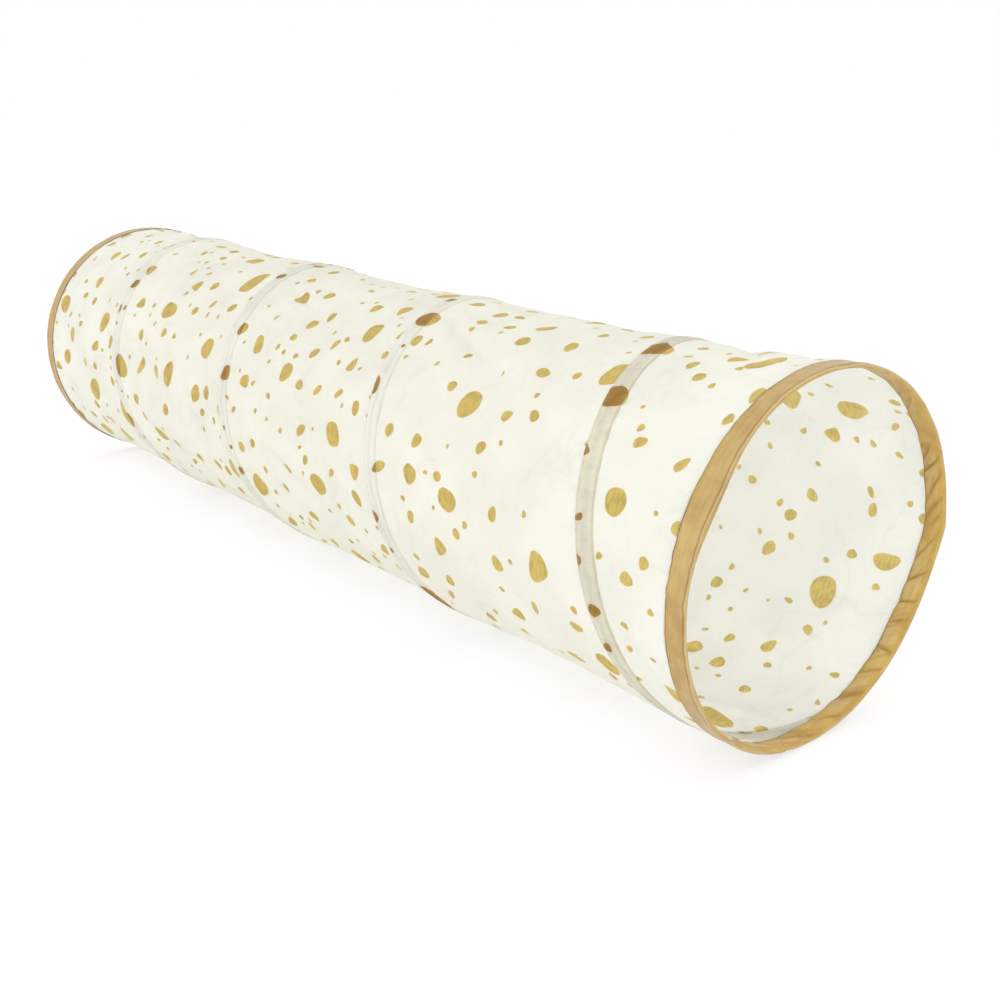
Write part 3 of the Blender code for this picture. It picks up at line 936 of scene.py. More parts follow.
# The cloth's unevenness: the sizes of its crinkles and crumples, along and round the tunnel
CRINKLE_SIZE = 0.055
FINE_CRINKLE_SIZES = (0.021, 0.026)
FINE_CRINKLE = 0.45
CRUMPLE_SIZES = (0.034, 0.085)
CRUMPLE_PATCH_SIZE = 0.17
CRUMPLE = 0.9
CRUMPLE_SHARPNESS = 3.0

# Puckers of the seams: wider and longer at a hem than at a channel
PUCKER_REACH = 0.013
PUCKER_DEPTH = 0.0016
PUCKER_SIZE = 0.0085
PUCKER_START = 0.006
HEM_PUCKER_SIZE = 0.015
HEM_PUCKER_REACH = 1.3
HEM_TUCK = 0.0008
SEAM_EASE = 0.004


def pucker(drop, along, arc, edges):
    """Draws the cloth in and out further where it is gathered at its two seams."""
    for edge, sign, tone in zip(edges, (1, -1), (1.7, 9.2)):
        off = np.maximum(0, sign * (along - edge))
        at_hem = smooth((np.abs(edge) - HEM_EDGE) / SEAM_EASE + 1)
        reach = PUCKER_REACH * (1 + HEM_PUCKER_REACH * at_hem)
        pinch = waver(arc / PUCKER_SIZE + off * 35, tone)
        pinch = pinch + at_hem * waver(arc / HEM_PUCKER_SIZE - off * 18, tone)
        drop = drop + PUCKER_DEPTH * pinch * np.exp(-off / reach) * smooth(off / PUCKER_START)
    return drop


def panel_surface(angles, sizes, creases):
    """Places along the tunnel and radii of the cloth's outer face, row by row."""
    left, near, far, right = (edge[:, None] for edge in panel_rows(angles, sizes))
    rows = angles[:, None]
    arc = rows * OUTER_RADIUS
    inner = near + PANEL_SHARES[None, :] * (far - near)
    along = np.concatenate([left, (left + near) / 2, inner, (far + right) / 2, right], axis=1)
    shares = np.clip((along - near) / np.maximum(far - near, LEAST_WIDTH), 0, 1)
    fullness = np.clip((far - near) / (PITCH - sizes.channel_width), 0, 1)
    hold = smooth(np.minimum(along - near, far - along) / HOLD_REACH)
    waist = sizes.waist_depth * 4 * shares * (1 - shares) * fullness
    folds = sum(crease.drop(rows, shares) for crease in creases) if creases else 0
    folds = sizes.fold_depth * np.clip(folds, *FOLD_LIMITS) * hold * fullness**0.5
    crinkle = ruffle(along / CRINKLE_SIZE, arc / CRINKLE_SIZE, PANEL_SEED)
    fine = (along / FINE_CRINKLE_SIZES[0], arc / FINE_CRINKLE_SIZES[1])
    crinkle = crinkle + FINE_CRINKLE * ruffle(*fine, PANEL_SEED + 4)
    crumple = ruffle(along / CRUMPLE_SIZES[0], arc / CRUMPLE_SIZES[1], PANEL_SEED + 8)
    patches = ruffle(along / CRUMPLE_PATCH_SIZE, arc / CRUMPLE_PATCH_SIZE, PANEL_SEED + 9)
    crumple = fold_line(crumple, CRUMPLE_SHARPNESS) * smooth(0.3 + 1.5 * patches)
    uneven = crinkle * (0.25 + 0.75 * hold) + CRUMPLE * crumple * hold
    drop = pucker(waist + folds + sizes.crinkle * uneven, along, arc, (near, far))
    drop = np.maximum(drop, -MOST_PROUD)
    inside = smooth((along - near) / SEAM_EASE + 0.2) * smooth((far - along) / SEAM_EASE + 0.2)
    tuck = HEM_TUCK * smooth((np.abs(along) - HEM_EDGE) / SEAM_EASE + 0.5)
    return along, PANEL_RADIUS - drop * inside - tuck


def make_panel(index, sizes, creases):
    """A stretch of the printed strip, which rides with the turn it leads up to."""
    start = (index - 1) * TURN + BODY_BREAK
    angles = steps(start, start + TURN)
    left, _, _, right = panel_rows(angles, sizes)
    angles = angles[right - left > LEAST_WIDTH]
    along, radius = panel_surface(angles, sizes, creases)
    rows = angles[:, None]
    top = on_tunnel(along, radius, rows)
    under = on_tunnel(along, radius - sizes.cloth_thickness, rows)
    piece = cloth_solid(f"cover_strip_{index}", top, under, finish("printed_cloth_strip"))
    places = np.stack(np.broadcast_arrays(along, rows * OUTER_RADIUS), axis=-1)
    add_uv(piece, "Print", sheet_places(places))
    node = f"fabric_panel_{index}"
    if index > COIL_TURNS:
        settle(piece, "front_end", node, last_panel_anchor())
    else:
        settle_on_turn(piece, index, node)


# The channel's section: a crest over the wire, a belly under it and edges sewn down
CHANNEL_EDGE_DEPTH = 0.0007
CHANNEL_CREST = 0.0009
CHANNEL_CREST_WIDTH = 0.0045
CREST_TAUT_WIDTH = 0.003
BELLY_DEPTH = 0.0036
BELLY_WIDTH = 0.0036
CHANNEL_LIFT = 0.00022
CHANNEL_LIFT_SIZES = (0.011, 0.014)
CHANNEL_PUCKER = 0.00018
CHANNEL_PUCKER_SIZE = 0.0075
CHANNEL_SLACK = 0.0006
SLACK_PLACE = 0.0075
SLACK_WIDTH = 0.003
SLACK_SIZE = 0.03
CHANNEL_WAVER = ((0.0005, 0.021, 12.5), (0.0009, 0.017, 14.5))
CHANNEL_END_GAP = 0.0004
CHANNEL_RUN_OUT_GAP = 0.0006
LEAST_CHANNEL = 0.00004
CHANNEL_SHARES = np.concatenate(
    [np.linspace(-1, -0.42, 7), np.linspace(-0.34, 0.34, 9), np.linspace(0.42, 1, 7)]
)


def channel_span(index, half):
    """First and last angle of a stretch of channel, out to the hems at both ends."""
    start = (index - 1) * TURN + BODY_BREAK
    stop = start + TURN
    run_out = (half + COIL_START_INSET - LEAST_WIDTH - CHANNEL_RUN_OUT_GAP) / PITCH * TURN
    if index == 1:
        start = -run_out
    if index == COIL_TURNS:
        stop = COIL_TURNS * TURN + run_out
    return start, stop


def channel_layers(across, angles, inset):
    """Radii of the channel's upper and lower layers, the inset inside its surface."""
    arc = angles * OUTER_RADIUS
    sizes = CHANNEL_LIFT_SIZES
    lift = CHANNEL_LIFT * ruffle(across / sizes[0], arc / sizes[1], 6.1)
    lift = lift + CHANNEL_PUCKER * waver(arc / CHANNEL_PUCKER_SIZE + across * 160, 3.3)
    crest = CHANNEL_CREST * bump(across / CHANNEL_CREST_WIDTH)
    top = CHANNEL_TOP + crest + lift * (1 - bump(across / CREST_TAUT_WIDTH)) - inset
    belly = BELLY_DEPTH * np.exp(-((np.abs(across) / BELLY_WIDTH) ** 3))
    slack = CHANNEL_SLACK * bump((np.abs(across) - SLACK_PLACE) / SLACK_WIDTH)
    slack = slack * (1 + waver(arc / SLACK_SIZE, 5.5))
    lower = CHANNEL_TOP - CHANNEL_EDGE_DEPTH - belly - slack + inset
    return top, lower


def channel_outline(angles, half, inset):
    """A closed outline at each angle: the upper layer, then the lower one back."""
    middle = coil_place(angles / TURN)[:, None]
    rows = angles[:, None]
    arc = rows * OUTER_RADIUS
    stop = HEM_EDGE - CHANNEL_END_GAP
    sways = [height * waver(arc / size, seed) for height, size, seed in CHANNEL_WAVER]
    low = np.maximum(-half + sways[0], -stop - middle) + inset
    high = np.minimum(half + sways[1], stop - middle) - inset
    shares = CHANNEL_SHARES[None, :] / 2 + 0.5
    across = low + shares * (high - low)
    top, lower = channel_layers(across, rows, inset)
    lower = np.minimum(lower, top - LEAST_CHANNEL)
    upper_points = on_tunnel(middle + across, top, rows)
    lower_points = on_tunnel(middle + across, lower, rows)
    outline = np.concatenate([upper_points, lower_points[:, ::-1]], axis=1)
    return outline, middle + across, across


def make_channel(index, sizes):
    """A stretch of the sewn lap, hollow for the wire."""
    half = sizes.channel_width / 2
    angles = steps(*channel_span(index, half))
    outer, along, across = channel_outline(angles, half, 0)
    inner, _, _ = channel_outline(angles, half, sizes.cloth_thickness)
    piece = tube_solid(f"coil_channel_{index}", outer, inner, finish("channel_cloth_lap"))
    rows = (angles[:, None] + TURN) * OUTER_RADIUS
    for name, first in (("Print", along), ("Lane", across / half)):
        places = sheet_places(np.stack(np.broadcast_arrays(first, rows), axis=-1))
        add_uv(piece, name, np.concatenate([places, places]))
    settle_on_turn(piece, index, f"wire_channel_{index}")


# A stitch: shares of its length, of the thread's radius and of its height over the cloth
STITCH_PROFILE = (
    (0.0, 0.0, -2.2),
    (0.06, 0.7, -0.9),
    (0.25, 1.0, 0.1),
    (0.75, 1.0, 0.1),
    (0.94, 0.7, -0.9),
    (1.0, 0.0, -2.2),
)
STITCH_SIDES = 5


def stitch_faces(base):
    """Faces of one stitch whose points start at base: a fan, rings of quads and a fan."""
    faces = []
    rings = len(STITCH_PROFILE) - 2
    last = base + 1 + rings * STITCH_SIDES
    for j in range(STITCH_SIDES):
        k = (j + 1) % STITCH_SIDES
        faces.append((base, base + 1 + k, base + 1 + j))
        for ring in range(rings - 1):
            a = base + 1 + ring * STITCH_SIDES
            faces.append((a + j, a + k, a + STITCH_SIDES + k, a + STITCH_SIDES + j))
        a = last - STITCH_SIDES
        faces.append((a + j, a + k, last))
    return faces


def stitch_row(angles, point_at, sizes, face=1):
    """A row of stitches: short rounded runs of thread whose ends dive into the cloth."""
    pitch = sizes.stitch_length + sizes.stitch_gap
    count = max(1, int((angles[1] - angles[0]) * OUTER_RADIUS / pitch))
    radius = sizes.thread_diameter / 2
    turns = np.arange(STITCH_SIDES) * TURN / STITCH_SIDES
    starts = angles[0] + (np.arange(count) + 0.5) / count * (angles[1] - angles[0])
    span = sizes.stitch_length / OUTER_RADIUS
    shares = np.array([share for share, _, _ in STITCH_PROFILE])
    line = point_at(starts[:, None] + (shares[None, :] - 0.5) * span)
    outward = line - np.array([0, 0, OUTER_RADIUS])
    outward[..., 0] = 0
    outward *= face / np.linalg.norm(outward, axis=-1, keepdims=True)
    forward = line[:, -1:] - line[:, :1]
    forward /= np.linalg.norm(forward, axis=-1, keepdims=True)
    side = np.cross(np.broadcast_to(forward, line.shape), outward)
    points, faces = [], []
    for i in range(count):
        faces += stitch_faces(len(points))
        for k, (_, width, lift) in enumerate(STITCH_PROFILE):
            centre = line[i, k] + outward[i, k] * lift * radius
            if width == 0:
                points.append(centre)
                continue
            for turn in turns:
                swing = math.cos(turn) * outward[i, k] + math.sin(turn) * side[i, k]
                points.append(centre + radius * width * swing)
    return points, faces


def sew(name, rows, thread):
    """One piece of thread from rows of stitches."""
    points, faces = [], []
    for row_points, row_faces in rows:
        base = len(points)
        points += row_points
        faces += [tuple(base + corner for corner in face) for face in row_faces]
    return add_mesh(name, points, faces, finish(thread))


SEAM_INSET = 0.0030
SEAM_END_GAP = 0.0015
SEAM_SWAY = 0.00025
SEAM_SWAY_SIZE = 0.05


def make_channel_stitches(index, edge, side, sizes):
    """A row of stitches along one edge of a stretch of channel."""
    half = sizes.channel_width / 2
    start, stop = channel_span(index, half)
    place = side * (half - SEAM_INSET)
    if index == 1:
        start = max(start, -(place + COIL_START_INSET - SEAM_END_GAP) / PITCH * TURN)
    if index == COIL_TURNS:
        room = COIL_START_INSET - SEAM_END_GAP - place
        stop = min(stop, COIL_TURNS * TURN + room / PITCH * TURN)

    def point_at(spots):
        sway = SEAM_SWAY * waver(spots * OUTER_RADIUS / SEAM_SWAY_SIZE, side * 3.0 + index)
        across = place + sway
        top, _ = channel_layers(across, spots, 0)
        return on_tunnel(coil_place(spots / TURN) + across, top, spots)

    row = stitch_row((start, stop), point_at, sizes)
    piece = sew(f"channel_{index}_{edge}_seam", [row], "channel_thread")
    settle_on_turn(piece, index, f"channel_{index}_{edge}_stitch")


# The hem binding's section: two legs and a lip rounded over the hoop
LIP_RADIUS = 0.0025
LIP_CENTRE = HALF_LENGTH - LIP_RADIUS
OUTER_LEG_EDGE = 0.2391
INNER_LEG_EDGE = 0.2352
LIP_STEPS = 7
JOIN_ANGLE = -0.33
JOIN_SLANT = 0.12
JOIN_OVERLAP = 0.075
JOIN_STEP = 0.0007  # how far the overlap lies over the binding's start
JOIN_EASE = 0.10
# width of the lapped end's darker raw edge and its painted shadow
RAW_EDGE_SHADOW_ANGLE = 0.007
HEM_ROWS_PER_TURN = 960
LEG_SHARES = np.concatenate([np.linspace(0, 0.12, 4), np.linspace(0.18, 1, 13)])

# The outer leg: its edge's sways with their sizes, shallow dents and a belly between seams
OUTER_SWAYS = ((0.0010, 0.026), (0.0006, 0.011))
OUTER_EDGE_INSET = 0.0011
DENT_DEPTH = 0.0011
DENT_SIZE = 0.040
DENT_SLANT = 0.012
DENT_PATCH_SIZE = 0.070
DENT_SHARPNESS = 2.4
OUTER_BELLY = 0.0006
BELLY_SIZES = (0.05, 0.019)
# sets the painted highlight where the outer leg stands proud
BELLY_HIGHLIGHT_DEPTH = 0.0016

# The inner leg: gathers that slant in from its edge, deep ones with finer ones between
INNER_SWAYS = ((0.0024, 0.060), (0.0012, 0.019))
INNER_EDGE_INSET = 0.0020
GATHER_DEPTH = 0.0034
GATHER_SLANT = 0.034
GATHER_DRIFT = 0.030
GATHER_DRIFT_SIZE = 0.13
DEEP_GATHER_SIZE = 0.040
DEEP_SHARPNESS = 3.4
FINE_GATHER_SIZE = 0.021
FINE_SLANT = 0.014
FINE_SHARPNESS = 2.8
FINE_GATHER = 0.55
GATHER_PATCH_SIZE = 0.080
FULL_ANGLE = math.radians(48)
LIFT = 0.0012
LIFT_SIZE = 0.11

# The lip stands off the wire where the hem lies slack, but not where it rests on the floor
STAND_OFF = 0.0016
STAND_OFF_WAVER = 0.0005
STAND_OFF_SIZE = 0.032
SLACK_ANGLE = math.radians(72)
REST_WIDTH = math.radians(15)

# A loose fold that leans into the opening
LEAF_ANGLE = math.radians(239)
LEAF_WIDTH = math.radians(15)
LEAF_DEPTH = 0.0105


def stand_off(angles, seed):
    """How far the lip stands off the wire, most where the hem lies slack."""
    slack = 0.5 + 0.5 * np.cos(angles - SLACK_ANGLE)
    sway = waver(angles * OUTER_RADIUS / STAND_OFF_SIZE, seed + 9)
    out = STAND_OFF * slack + STAND_OFF_WAVER * sway
    on_floor = bump(angle_from(angles, 0) / REST_WIDTH)
    return out * (1 - 0.95 * on_floor)


def leaf(angles):
    """Depth of the loose fold that leans into the opening."""
    return LEAF_DEPTH * np.exp(-np.abs(angle_from(angles, LEAF_ANGLE) / LEAF_WIDTH) ** 2.4)


def edge_sway(arc, sways, seed, inset):
    """How far a leg's edge wanders in from where it is sewn, but never out past it."""
    (coarse, size), (fine, fine_size) = sways
    sway = coarse * waver(arc / size, seed) + fine * waver(arc / fine_size, seed + 1)
    return np.maximum(sway + inset, 0)


def outer_leg(angles, leg, seed):
    """Places, radii and tones from the outer edge to the lip: painted shade in the dents, painted
    highlight where the leg stands proud.
    """
    arc = angles * OUTER_RADIUS
    sway = edge_sway(arc, OUTER_SWAYS, seed, OUTER_EDGE_INSET)
    along = HEM_EDGE + sway + leg * (LIP_CENTRE - HEM_EDGE - sway)
    dents = fold_line(ruffle(leg * 0.9, (arc + DENT_SLANT * leg) / DENT_SIZE, seed), DENT_SHARPNESS)
    dents = dents * smooth(0.35 + ruffle(leg * 0, arc / DENT_PATCH_SIZE, seed + 11))
    lean, size = BELLY_SIZES
    belly = OUTER_BELLY * (1 + ruffle(leg * 1.6 + arc / lean, arc / size, seed))
    drop = (belly + DENT_DEPTH * dents) * np.sin(leg * math.pi)
    climb = WIRE_LINE + LIP_RADIUS - OUTER_LEG_EDGE
    radius = OUTER_LEG_EDGE + climb * smooth(leg) - drop
    radius = radius + stand_off(angles, seed) * smooth(leg * 1.4 - 0.4)
    tones = (0.55 * dents * (1 - 0.6 * leg), 0.5 - belly / BELLY_HIGHLIGHT_DEPTH - dents)
    return along, radius, tones


def lip_round(angles, seed):
    """Places, radii and tones over the lip: painted shade where the loose fold leans in."""
    turns = np.linspace(math.pi / 2, -math.pi / 2, LIP_STEPS + 2)[None, 1:-1]
    along = LIP_CENTRE + LIP_RADIUS * np.cos(turns) + 0 * angles
    radius = WIRE_LINE + LIP_RADIUS * np.sin(turns)
    radius = radius + stand_off(angles, seed) * smooth((1 + np.sin(turns)) / 2)
    fallen = leaf(angles)
    radius = radius - fallen * smooth((1 - np.sin(turns)) / 2)
    tone = 0.7 * fallen / LEAF_DEPTH * smooth((0.3 - np.sin(turns)) / 0.6)
    return along, radius, (tone, np.zeros_like(angles))


def inner_leg(angles, back, seed):
    """Places, radii and tones from the lip back to the inner edge: painted shade in the creases of the
    gathers and by the loose fold, painted highlight on their puffs.
    """
    arc = angles * OUTER_RADIUS
    sway = edge_sway(arc, INNER_SWAYS, seed + 2, INNER_EDGE_INSET)
    along = HEM_EDGE + sway + back * (LIP_CENTRE - HEM_EDGE - sway)
    drift = GATHER_DRIFT * waver(arc / GATHER_DRIFT_SIZE, seed + 12)
    skew = arc + drift - back * (GATHER_SLANT + drift)
    deep = fold_line(ruffle(back * 0.30, skew / DEEP_GATHER_SIZE, seed + 5), DEEP_SHARPNESS)
    between = (skew - back * FINE_SLANT) / FINE_GATHER_SIZE
    fine = fold_line(ruffle(back * 0.45 + 4, between, seed + 6), FINE_SHARPNESS)
    patches = ruffle(back * 0.3, arc / GATHER_PATCH_SIZE, seed + 8)
    fullness = 0.32 + 0.68 * smooth(0.65 + 1.1 * patches)
    fullness = fullness * (0.45 + 0.55 * smooth(0.5 + np.cos(angles - FULL_ANGLE)))
    fade = smooth((1 - back) * 3.0) * (0.35 + 0.65 * smooth(back * 5))
    puff = GATHER_DEPTH * fullness * fade * (1 - deep) * (1 - 0.45 * fine)
    lifted = smooth(waver(arc / LIFT_SIZE, seed + 7) * 1.3)
    climb = INNER_LEG_EDGE - WIRE_LINE + LIP_RADIUS
    radius = WIRE_LINE - LIP_RADIUS + climb * (1 - smooth(back))
    radius = radius - puff - LIFT * lifted * (1 - back)
    radius = radius - leaf(angles) * smooth(back * 1.5 - 0.35)
    creases = np.maximum(deep, FINE_GATHER * fine) * fullness
    leaf_shade = 0.55 * leaf(angles) / LEAF_DEPTH * back
    tones = (np.maximum(creases, leaf_shade), puff / GATHER_DEPTH * 1.1)
    return along, radius, tones


def hem_line(angles, seed, slant=0.0):
    """Places, radii, angles and tones along the binding's middle layer, edge to edge; the tones are
    painted shade and painted highlight.
    """
    count = len(LEG_SHARES)
    rows = angles[:, None] + np.linspace(0, slant, 2 * count + LIP_STEPS)[None, :]
    outer = outer_leg(rows[:, :count], LEG_SHARES[None, :], seed)
    lip = lip_round(rows[:, count:-count], seed)
    inner = inner_leg(rows[:, -count:], LEG_SHARES[::-1][None, :], seed)
    along, radius = (
        np.concatenate([part[i] for part in (outer, lip, inner)], axis=1) for i in range(2)
    )
    tones = [np.concatenate(parts, axis=1) for parts in zip(outer[2], lip[2], inner[2])]
    return along, radius, rows, np.clip(np.stack(tones, axis=-1), 0, 1)


def make_hem(end, sizes, seed):
    """A binding folded round the hoop, its one end lapped over the other."""
    angles = steps(JOIN_ANGLE, JOIN_ANGLE + TURN + JOIN_OVERLAP, HEM_ROWS_PER_TURN)
    along, radius, rows, tones = hem_line(angles, seed, JOIN_SLANT)
    settled = smooth((angles - JOIN_ANGLE - JOIN_OVERLAP * 1.3) / JOIN_EASE)[:, None]
    # the lapped end's raw edge, darker, with painted shadow where it lies over the start
    raw_edge_and_shadow = bump((angles[-1] - angles) / RAW_EDGE_SHADOW_ANGLE)[:, None]
    tones[..., 0] = np.maximum(tones[..., 0], raw_edge_and_shadow)
    along_slope = np.gradient(along, axis=1)
    radius_slope = np.gradient(radius, axis=1)
    length = np.hypot(along_slope, radius_slope)
    normal_along, normal_radius = -radius_slope / length, along_slope / length
    lap = JOIN_STEP * (1 - settled)
    half = sizes.binding_thickness / 2

    def layer(offset):
        place = along + normal_along * offset
        return on_end(end, place, radius + normal_radius * offset, rows)

    satin = finish("hem_binding_satin")
    piece = cloth_solid(f"{end}_binding", layer(half - lap), layer(-half - lap), satin)
    travelled = np.cumsum(length, axis=1) - length[:, :1]
    travelled *= 2 * HEM_WIDTH / travelled[:, -1:]
    places = np.stack(np.broadcast_arrays(travelled, rows * OUTER_RADIUS), axis=-1)
    add_uv(piece, "Lane", sheet_places(places))
    # tones of painted shade and painted highlight
    add_uv(piece, "Fold", sheet_places(tones))
    settle_on_hem(piece, end, f"{end}_hem_binding")


HEM_SEAM_INSET = 0.0040
HEM_SEAM_SPAN = (JOIN_ANGLE + JOIN_SLANT + 0.02, JOIN_ANGLE + TURN - 0.01)


def make_hem_stitches(end, sizes, seed):
    """A row that shows on both legs of the binding."""
    share = HEM_SEAM_INSET / (LIP_CENTRE - HEM_EDGE)
    count = len(LEG_SHARES)

    def point_on(leg, face):
        def point_at(spots):
            along, radius, _, _ = hem_line(spots.ravel(), seed)
            place = [np.interp(share, LEG_SHARES, row[leg]) for row in along]
            reach = [np.interp(share, LEG_SHARES, row[leg]) for row in radius]
            height = np.array(reach) + face * sizes.binding_thickness / 2
            points = on_end(end, np.array(place), height, spots.ravel())
            return points.reshape(*spots.shape, 3)

        return point_at

    legs = ((slice(None, count), 1), (slice(None, -count - 1, -1), -1))
    rows = [stitch_row(HEM_SEAM_SPAN, point_on(leg, face), sizes, face) for leg, face in legs]
    piece = sew(f"{end}_hem_seam", rows, "hem_thread")
    settle_on_hem(piece, end, f"{end}_hem_stitch")


def add_wire(name, line, sizes):
    return rod_solid(name, line, sizes.wire_diameter / 2, WIRE_SIDES, finish("drawn_spring_steel"))


def make_coil_wire(index, sizes):
    """One turn of the coil, from body break to body break."""
    start = (index - 1) * TURN + BODY_BREAK
    stop = start + TURN if index < COIL_TURNS else COIL_TURNS * TURN - BODY_BREAK
    angles = steps(start + WIRE_GAP_ANGLE, stop - WIRE_GAP_ANGLE, WIRE_ROWS_PER_TURN)
    line = on_tunnel(coil_place(angles / TURN), WIRE_LINE, angles)
    piece = add_wire(f"coil_wire_{index}", line, sizes)
    settle_on_turn(piece, index, f"coil_turn_{index}")


HOOP_FREE_END = -37.5 * FACET  # a turn and about a sixth before straight down


def make_hoop(end, sizes):
    """A flat ring of wire that laps over its own end and then runs out to the coil."""
    angles = steps(HOOP_FREE_END, BODY_BREAK - WIRE_GAP_ANGLE, WIRE_ROWS_PER_TURN)
    second_pass = smooth((angles - HOOP_FREE_END - TURN) / FACET + 1.0)
    flat = -HOOP_PLACE + (HOOP_PLACE - LEAD_PLACE) * second_pass
    along = np.maximum(flat, coil_place(angles / TURN))
    piece = add_wire(f"{end}_hoop", on_end(end, -along, WIRE_LINE, -angles), sizes)
    settle_on_hem(piece, end, f"{end}_hoop_wire")


SLEEVE_ANGLE = 5 * FACET
SLEEVE_LENGTH = 0.030
SLEEVE_WALL = 0.0005
SLEEVE_ROOM = 0.00155
SLEEVE_CORNERS = 9
SLEEVE_ROWS = 31
SLEEVE_DENTS = (-0.30, 0.0, 0.30)  # as shares of its length
DENT_WIDTH = 0.07
SLEEVE_PRESS = (0.00035, 0.00015)  # how deep the dents are outside and inside


def sleeve_outline(radius):
    """A rounded slot about both passes of the wire."""
    apart = (HOOP_PLACE - LEAD_PLACE) / 2
    middle = (HOOP_PLACE + LEAD_PLACE) / 2
    outline = []
    for side in (1, -1):
        for turn in np.linspace(-math.pi / 2, math.pi / 2, SLEEVE_CORNERS):
            reach = side * (apart + radius * math.cos(turn))
            outline.append((middle + reach, WIRE_LINE + side * radius * math.sin(turn)))
    return np.array(outline)


def make_sleeve(end):
    """A pressed sleeve that closes a hoop on itself, with three dents in its back."""
    shares = np.linspace(-0.5, 0.5, SLEEVE_ROWS)
    angles = SLEEVE_ANGLE + shares * SLEEVE_LENGTH / WIRE_LINE
    dents = sum(bump((shares - place) / DENT_WIDTH) for place in SLEEVE_DENTS)
    layers = []
    for radius, press in zip((SLEEVE_ROOM + SLEEVE_WALL, SLEEVE_ROOM), SLEEVE_PRESS):
        outline = sleeve_outline(radius)
        level = np.clip((outline[None, :, 1] - WIRE_LINE) / radius, -1, 1)
        height = outline[None, :, 1] - press * dents[:, None] * level
        layers.append(on_end(end, outline[None, :, 0], height, angles[:, None]))
    piece = tube_solid(f"{end}_sleeve", *layers, finish("pressed_crimp_metal"))
    settle(piece, f"{end}_end", f"{end}_crimp_sleeve")


class TUNNEL_OT_wires(bpy.types.Operator):
    """Adds the coil's turns, the two end hoops and their crimp sleeves"""

    bl_idname = "tunnel.wires"
    bl_label = "Spring wire"

    def execute(self, context):
        sizes = context.scene.tunnel_sizes
        for index in TURNS:
            make_coil_wire(index, sizes)
        for end in HEM_SEEDS:
            make_hoop(end, sizes)
            make_sleeve(end)
        return {"FINISHED"}


class TUNNEL_OT_cover(bpy.types.Operator):
    """Adds the five stretches of the printed cloth strip"""

    bl_idname = "tunnel.cover"
    bl_label = "Printed cover"

    def execute(self, context):
        sizes = context.scene.tunnel_sizes
        creases = make_creases(sizes.folds_per_turn)
        for index in PANELS:
            make_panel(index, sizes, creases)
        return {"FINISHED"}


class TUNNEL_OT_channels(bpy.types.Operator):
    """Adds the sewn lap that holds the coil, a stretch for each turn"""

    bl_idname = "tunnel.channels"
    bl_label = "Coil channels"

    def execute(self, context):
        for index in TURNS:
            make_channel(index, context.scene.tunnel_sizes)
        return {"FINISHED"}


class TUNNEL_OT_bindings(bpy.types.Operator):
    """Adds the two golden hem bindings"""

    bl_idname = "tunnel.bindings"
    bl_label = "Hem bindings"

    def execute(self, context):
        for end, seed in HEM_SEEDS.items():
            make_hem(end, context.scene.tunnel_sizes, seed)
        return {"FINISHED"}


class TUNNEL_OT_stitching(bpy.types.Operator):
    """Adds the rows of stitches along the channels and round the hems"""

    bl_idname = "tunnel.stitching"
    bl_label = "Stitching"

    def execute(self, context):
        sizes = context.scene.tunnel_sizes
        for index in TURNS:
            for edge, side in SEAMS.items():
                make_channel_stitches(index, edge, side, sizes)
        for end, seed in HEM_SEEDS.items():
            make_hem_stitches(end, sizes, seed)
        return {"FINISHED"}


class TUNNEL_OT_cloth_facts(bpy.types.Operator):
    """Does nothing"""

    bl_idname = "tunnel.cloth_facts"
    bl_label = "Cloth facts"

    def execute(self, context):
        return {"FINISHED"}


# The photograph's view and a plain studio
CAMERA_PLACE = (1.7100, -1.1648, 0.7662)
CAMERA_AZIMUTH = math.radians(50.366)
CAMERA_ELEVATION = math.radians(18.236)
CAMERA_LENS = 45.0
CAMERA_SENSOR = 36.0
CAMERA_REACH = 100.0
FLOOR_HALF = 14.0
FLOOR_GLOW = 0.635
FLOOR_SHADE = 0.38
SURROUNDING_LIGHT = 1.02

# Each lamp's place, what it is aimed at, its width in metres and its power in watts
LAMPS = {
    "key": ((1.6, 2.2, 3.2), (0, 0, 0.2), 2.6, 8),
    "fill": ((-0.1, -3.3, 1.2), (0, 0, 0.2), 1.8, 23),
    "front": ((7.0, -2.7, 3.1), (0.4, 0, 0.1), 3.6, 84),
}


def add_lamp(name, place, aim, size, power):
    lamp = bpy.data.lights.new(name, "AREA")
    lamp.shape = "DISK"
    lamp.size = size
    lamp.energy = power
    holder = bpy.data.objects.new(name, lamp)
    holder.location = place
    aimed = Vector(aim) - Vector(place)
    holder.rotation_euler = aimed.to_track_quat("-Z", "Y").to_euler()
    bpy.context.scene.collection.objects.link(holder)


def add_camera():
    camera = bpy.data.objects.new("photo_view", bpy.data.cameras.new("photo_view"))
    camera.data.lens = CAMERA_LENS
    camera.data.sensor_width = CAMERA_SENSOR
    camera.data.clip_end = CAMERA_REACH
    camera.location = CAMERA_PLACE
    camera.rotation_euler = (math.pi / 2 - CAMERA_ELEVATION, 0, CAMERA_AZIMUTH)
    bpy.context.scene.collection.objects.link(camera)
    bpy.context.scene.camera = camera


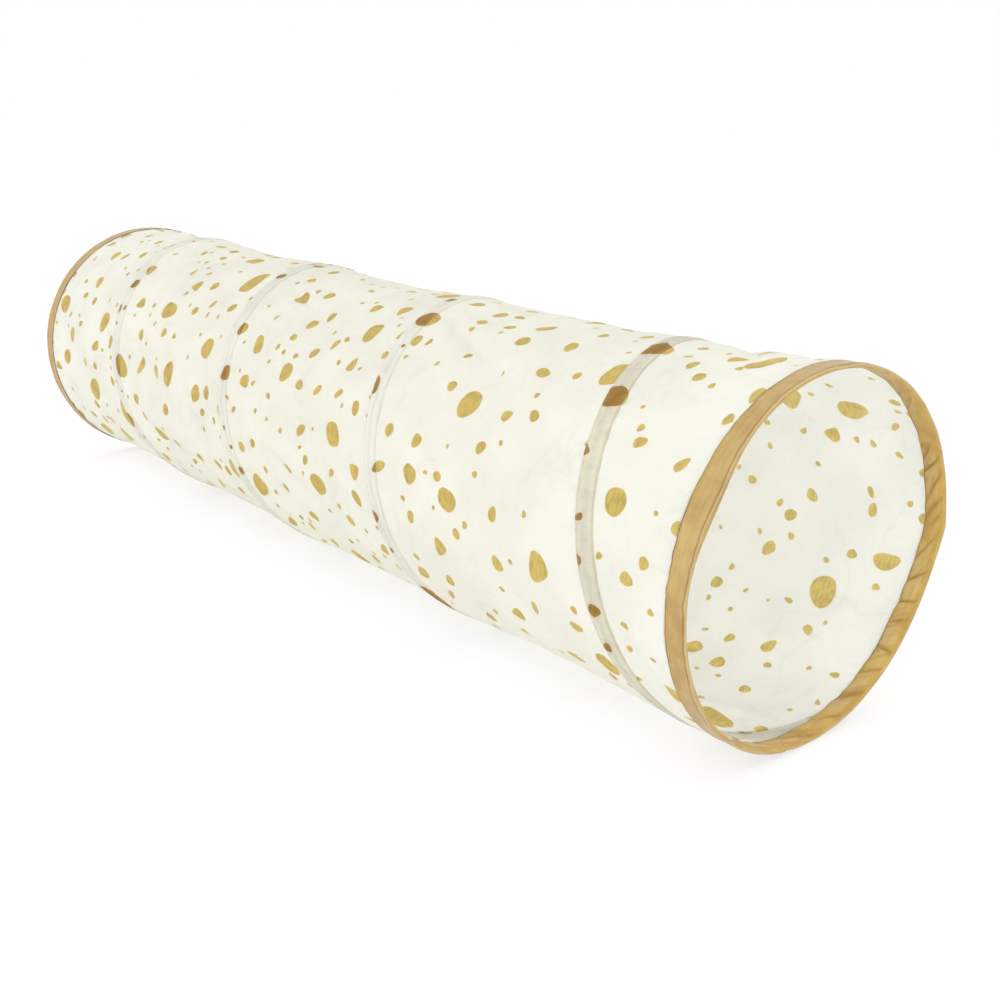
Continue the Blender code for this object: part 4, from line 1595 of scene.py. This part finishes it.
def add_floor(colour):
    """White to the eye and to gloss, with the object's soft shadow, and plain pale to light."""
    nodes = material_nodes("studio_floor")
    plain = nodes.first("ShaderNodeBsdfDiffuse", {"Color": tuple(colour)})
    shade = nodes.first("ShaderNodeBsdfDiffuse", {"Color": (FLOOR_SHADE,) * 3})
    glow = nodes.first("ShaderNodeEmission", {"Color": (1, 1, 1), "Strength": FLOOR_GLOW})
    white = nodes.first("ShaderNodeAddShader", {0: shade, 1: glow})
    material = nodes.show(nodes.blend(nodes.sees_white(), plain, white))
    corners = [(x * FLOOR_HALF, y * FLOOR_HALF, 0) for x, y in ((-1, -1), (1, -1), (1, 1), (-1, 1))]
    add_mesh("studio_floor", corners, [(0, 1, 2, 3)], material)


def add_world():
    """Soft white surroundings: plain light for cloth, white for the eye and for gloss."""
    nodes = Nodes(bpy.data.worlds.new("studio"), "World")
    light, white = (
        nodes.first("ShaderNodeBackground", {"Color": (1, 1, 1), "Strength": strength})
        for strength in (SURROUNDING_LIGHT, 1.0)
    )
    bpy.context.scene.world = nodes.show(nodes.blend(nodes.sees_white(), light, white))


class TUNNEL_OT_studio(bpy.types.Operator):
    """Adds the floor, the lamps, the surroundings and the camera"""

    bl_idname = "tunnel.studio"
    bl_label = "Studio"

    def execute(self, context):
        add_floor(context.scene.tunnel_colours.floor)
        add_world()
        for name, facts in LAMPS.items():
            add_lamp(name, *facts)
        add_camera()
        context.scene.view_settings.view_transform = "Standard"
        return {"FINISHED"}


BUILD_ORDER = (
    TUNNEL_OT_wires,
    TUNNEL_OT_cover,
    TUNNEL_OT_channels,
    TUNNEL_OT_bindings,
    TUNNEL_OT_stitching,
    TUNNEL_OT_cloth_facts,
    TUNNEL_OT_studio,
)


class TUNNEL_PT_panel(bpy.types.Panel):
    """The tunnel's steps and sizes"""

    bl_label = "Crawl tunnel"
    bl_idname = "TUNNEL_PT_panel"
    bl_space_type = "VIEW_3D"
    bl_region_type = "UI"
    bl_category = "Tunnel"

    def draw(self, context):
        for step in BUILD_ORDER:
            self.layout.operator(step.bl_idname)
        for group in (context.scene.tunnel_sizes, context.scene.tunnel_colours):
            box = self.layout.box()
            for name in group.__annotations__:
                box.prop(group, name)


CLASSES = (TunnelSizes, TunnelColours, *BUILD_ORDER, TUNNEL_PT_panel)


def register():
    for item in CLASSES:
        bpy.utils.register_class(item)
    bpy.types.Scene.tunnel_sizes = PointerProperty(type=TunnelSizes)
    bpy.types.Scene.tunnel_colours = PointerProperty(type=TunnelColours)


def unregister():
    del bpy.types.Scene.tunnel_colours
    del bpy.types.Scene.tunnel_sizes
    for item in reversed(CLASSES):
        bpy.utils.unregister_class(item)


def main():
    register()
    for step in BUILD_ORDER:
        group, name = step.bl_idname.split(".")
        getattr(getattr(bpy.ops, group), name)()


if __name__ == "__main__":
    main()
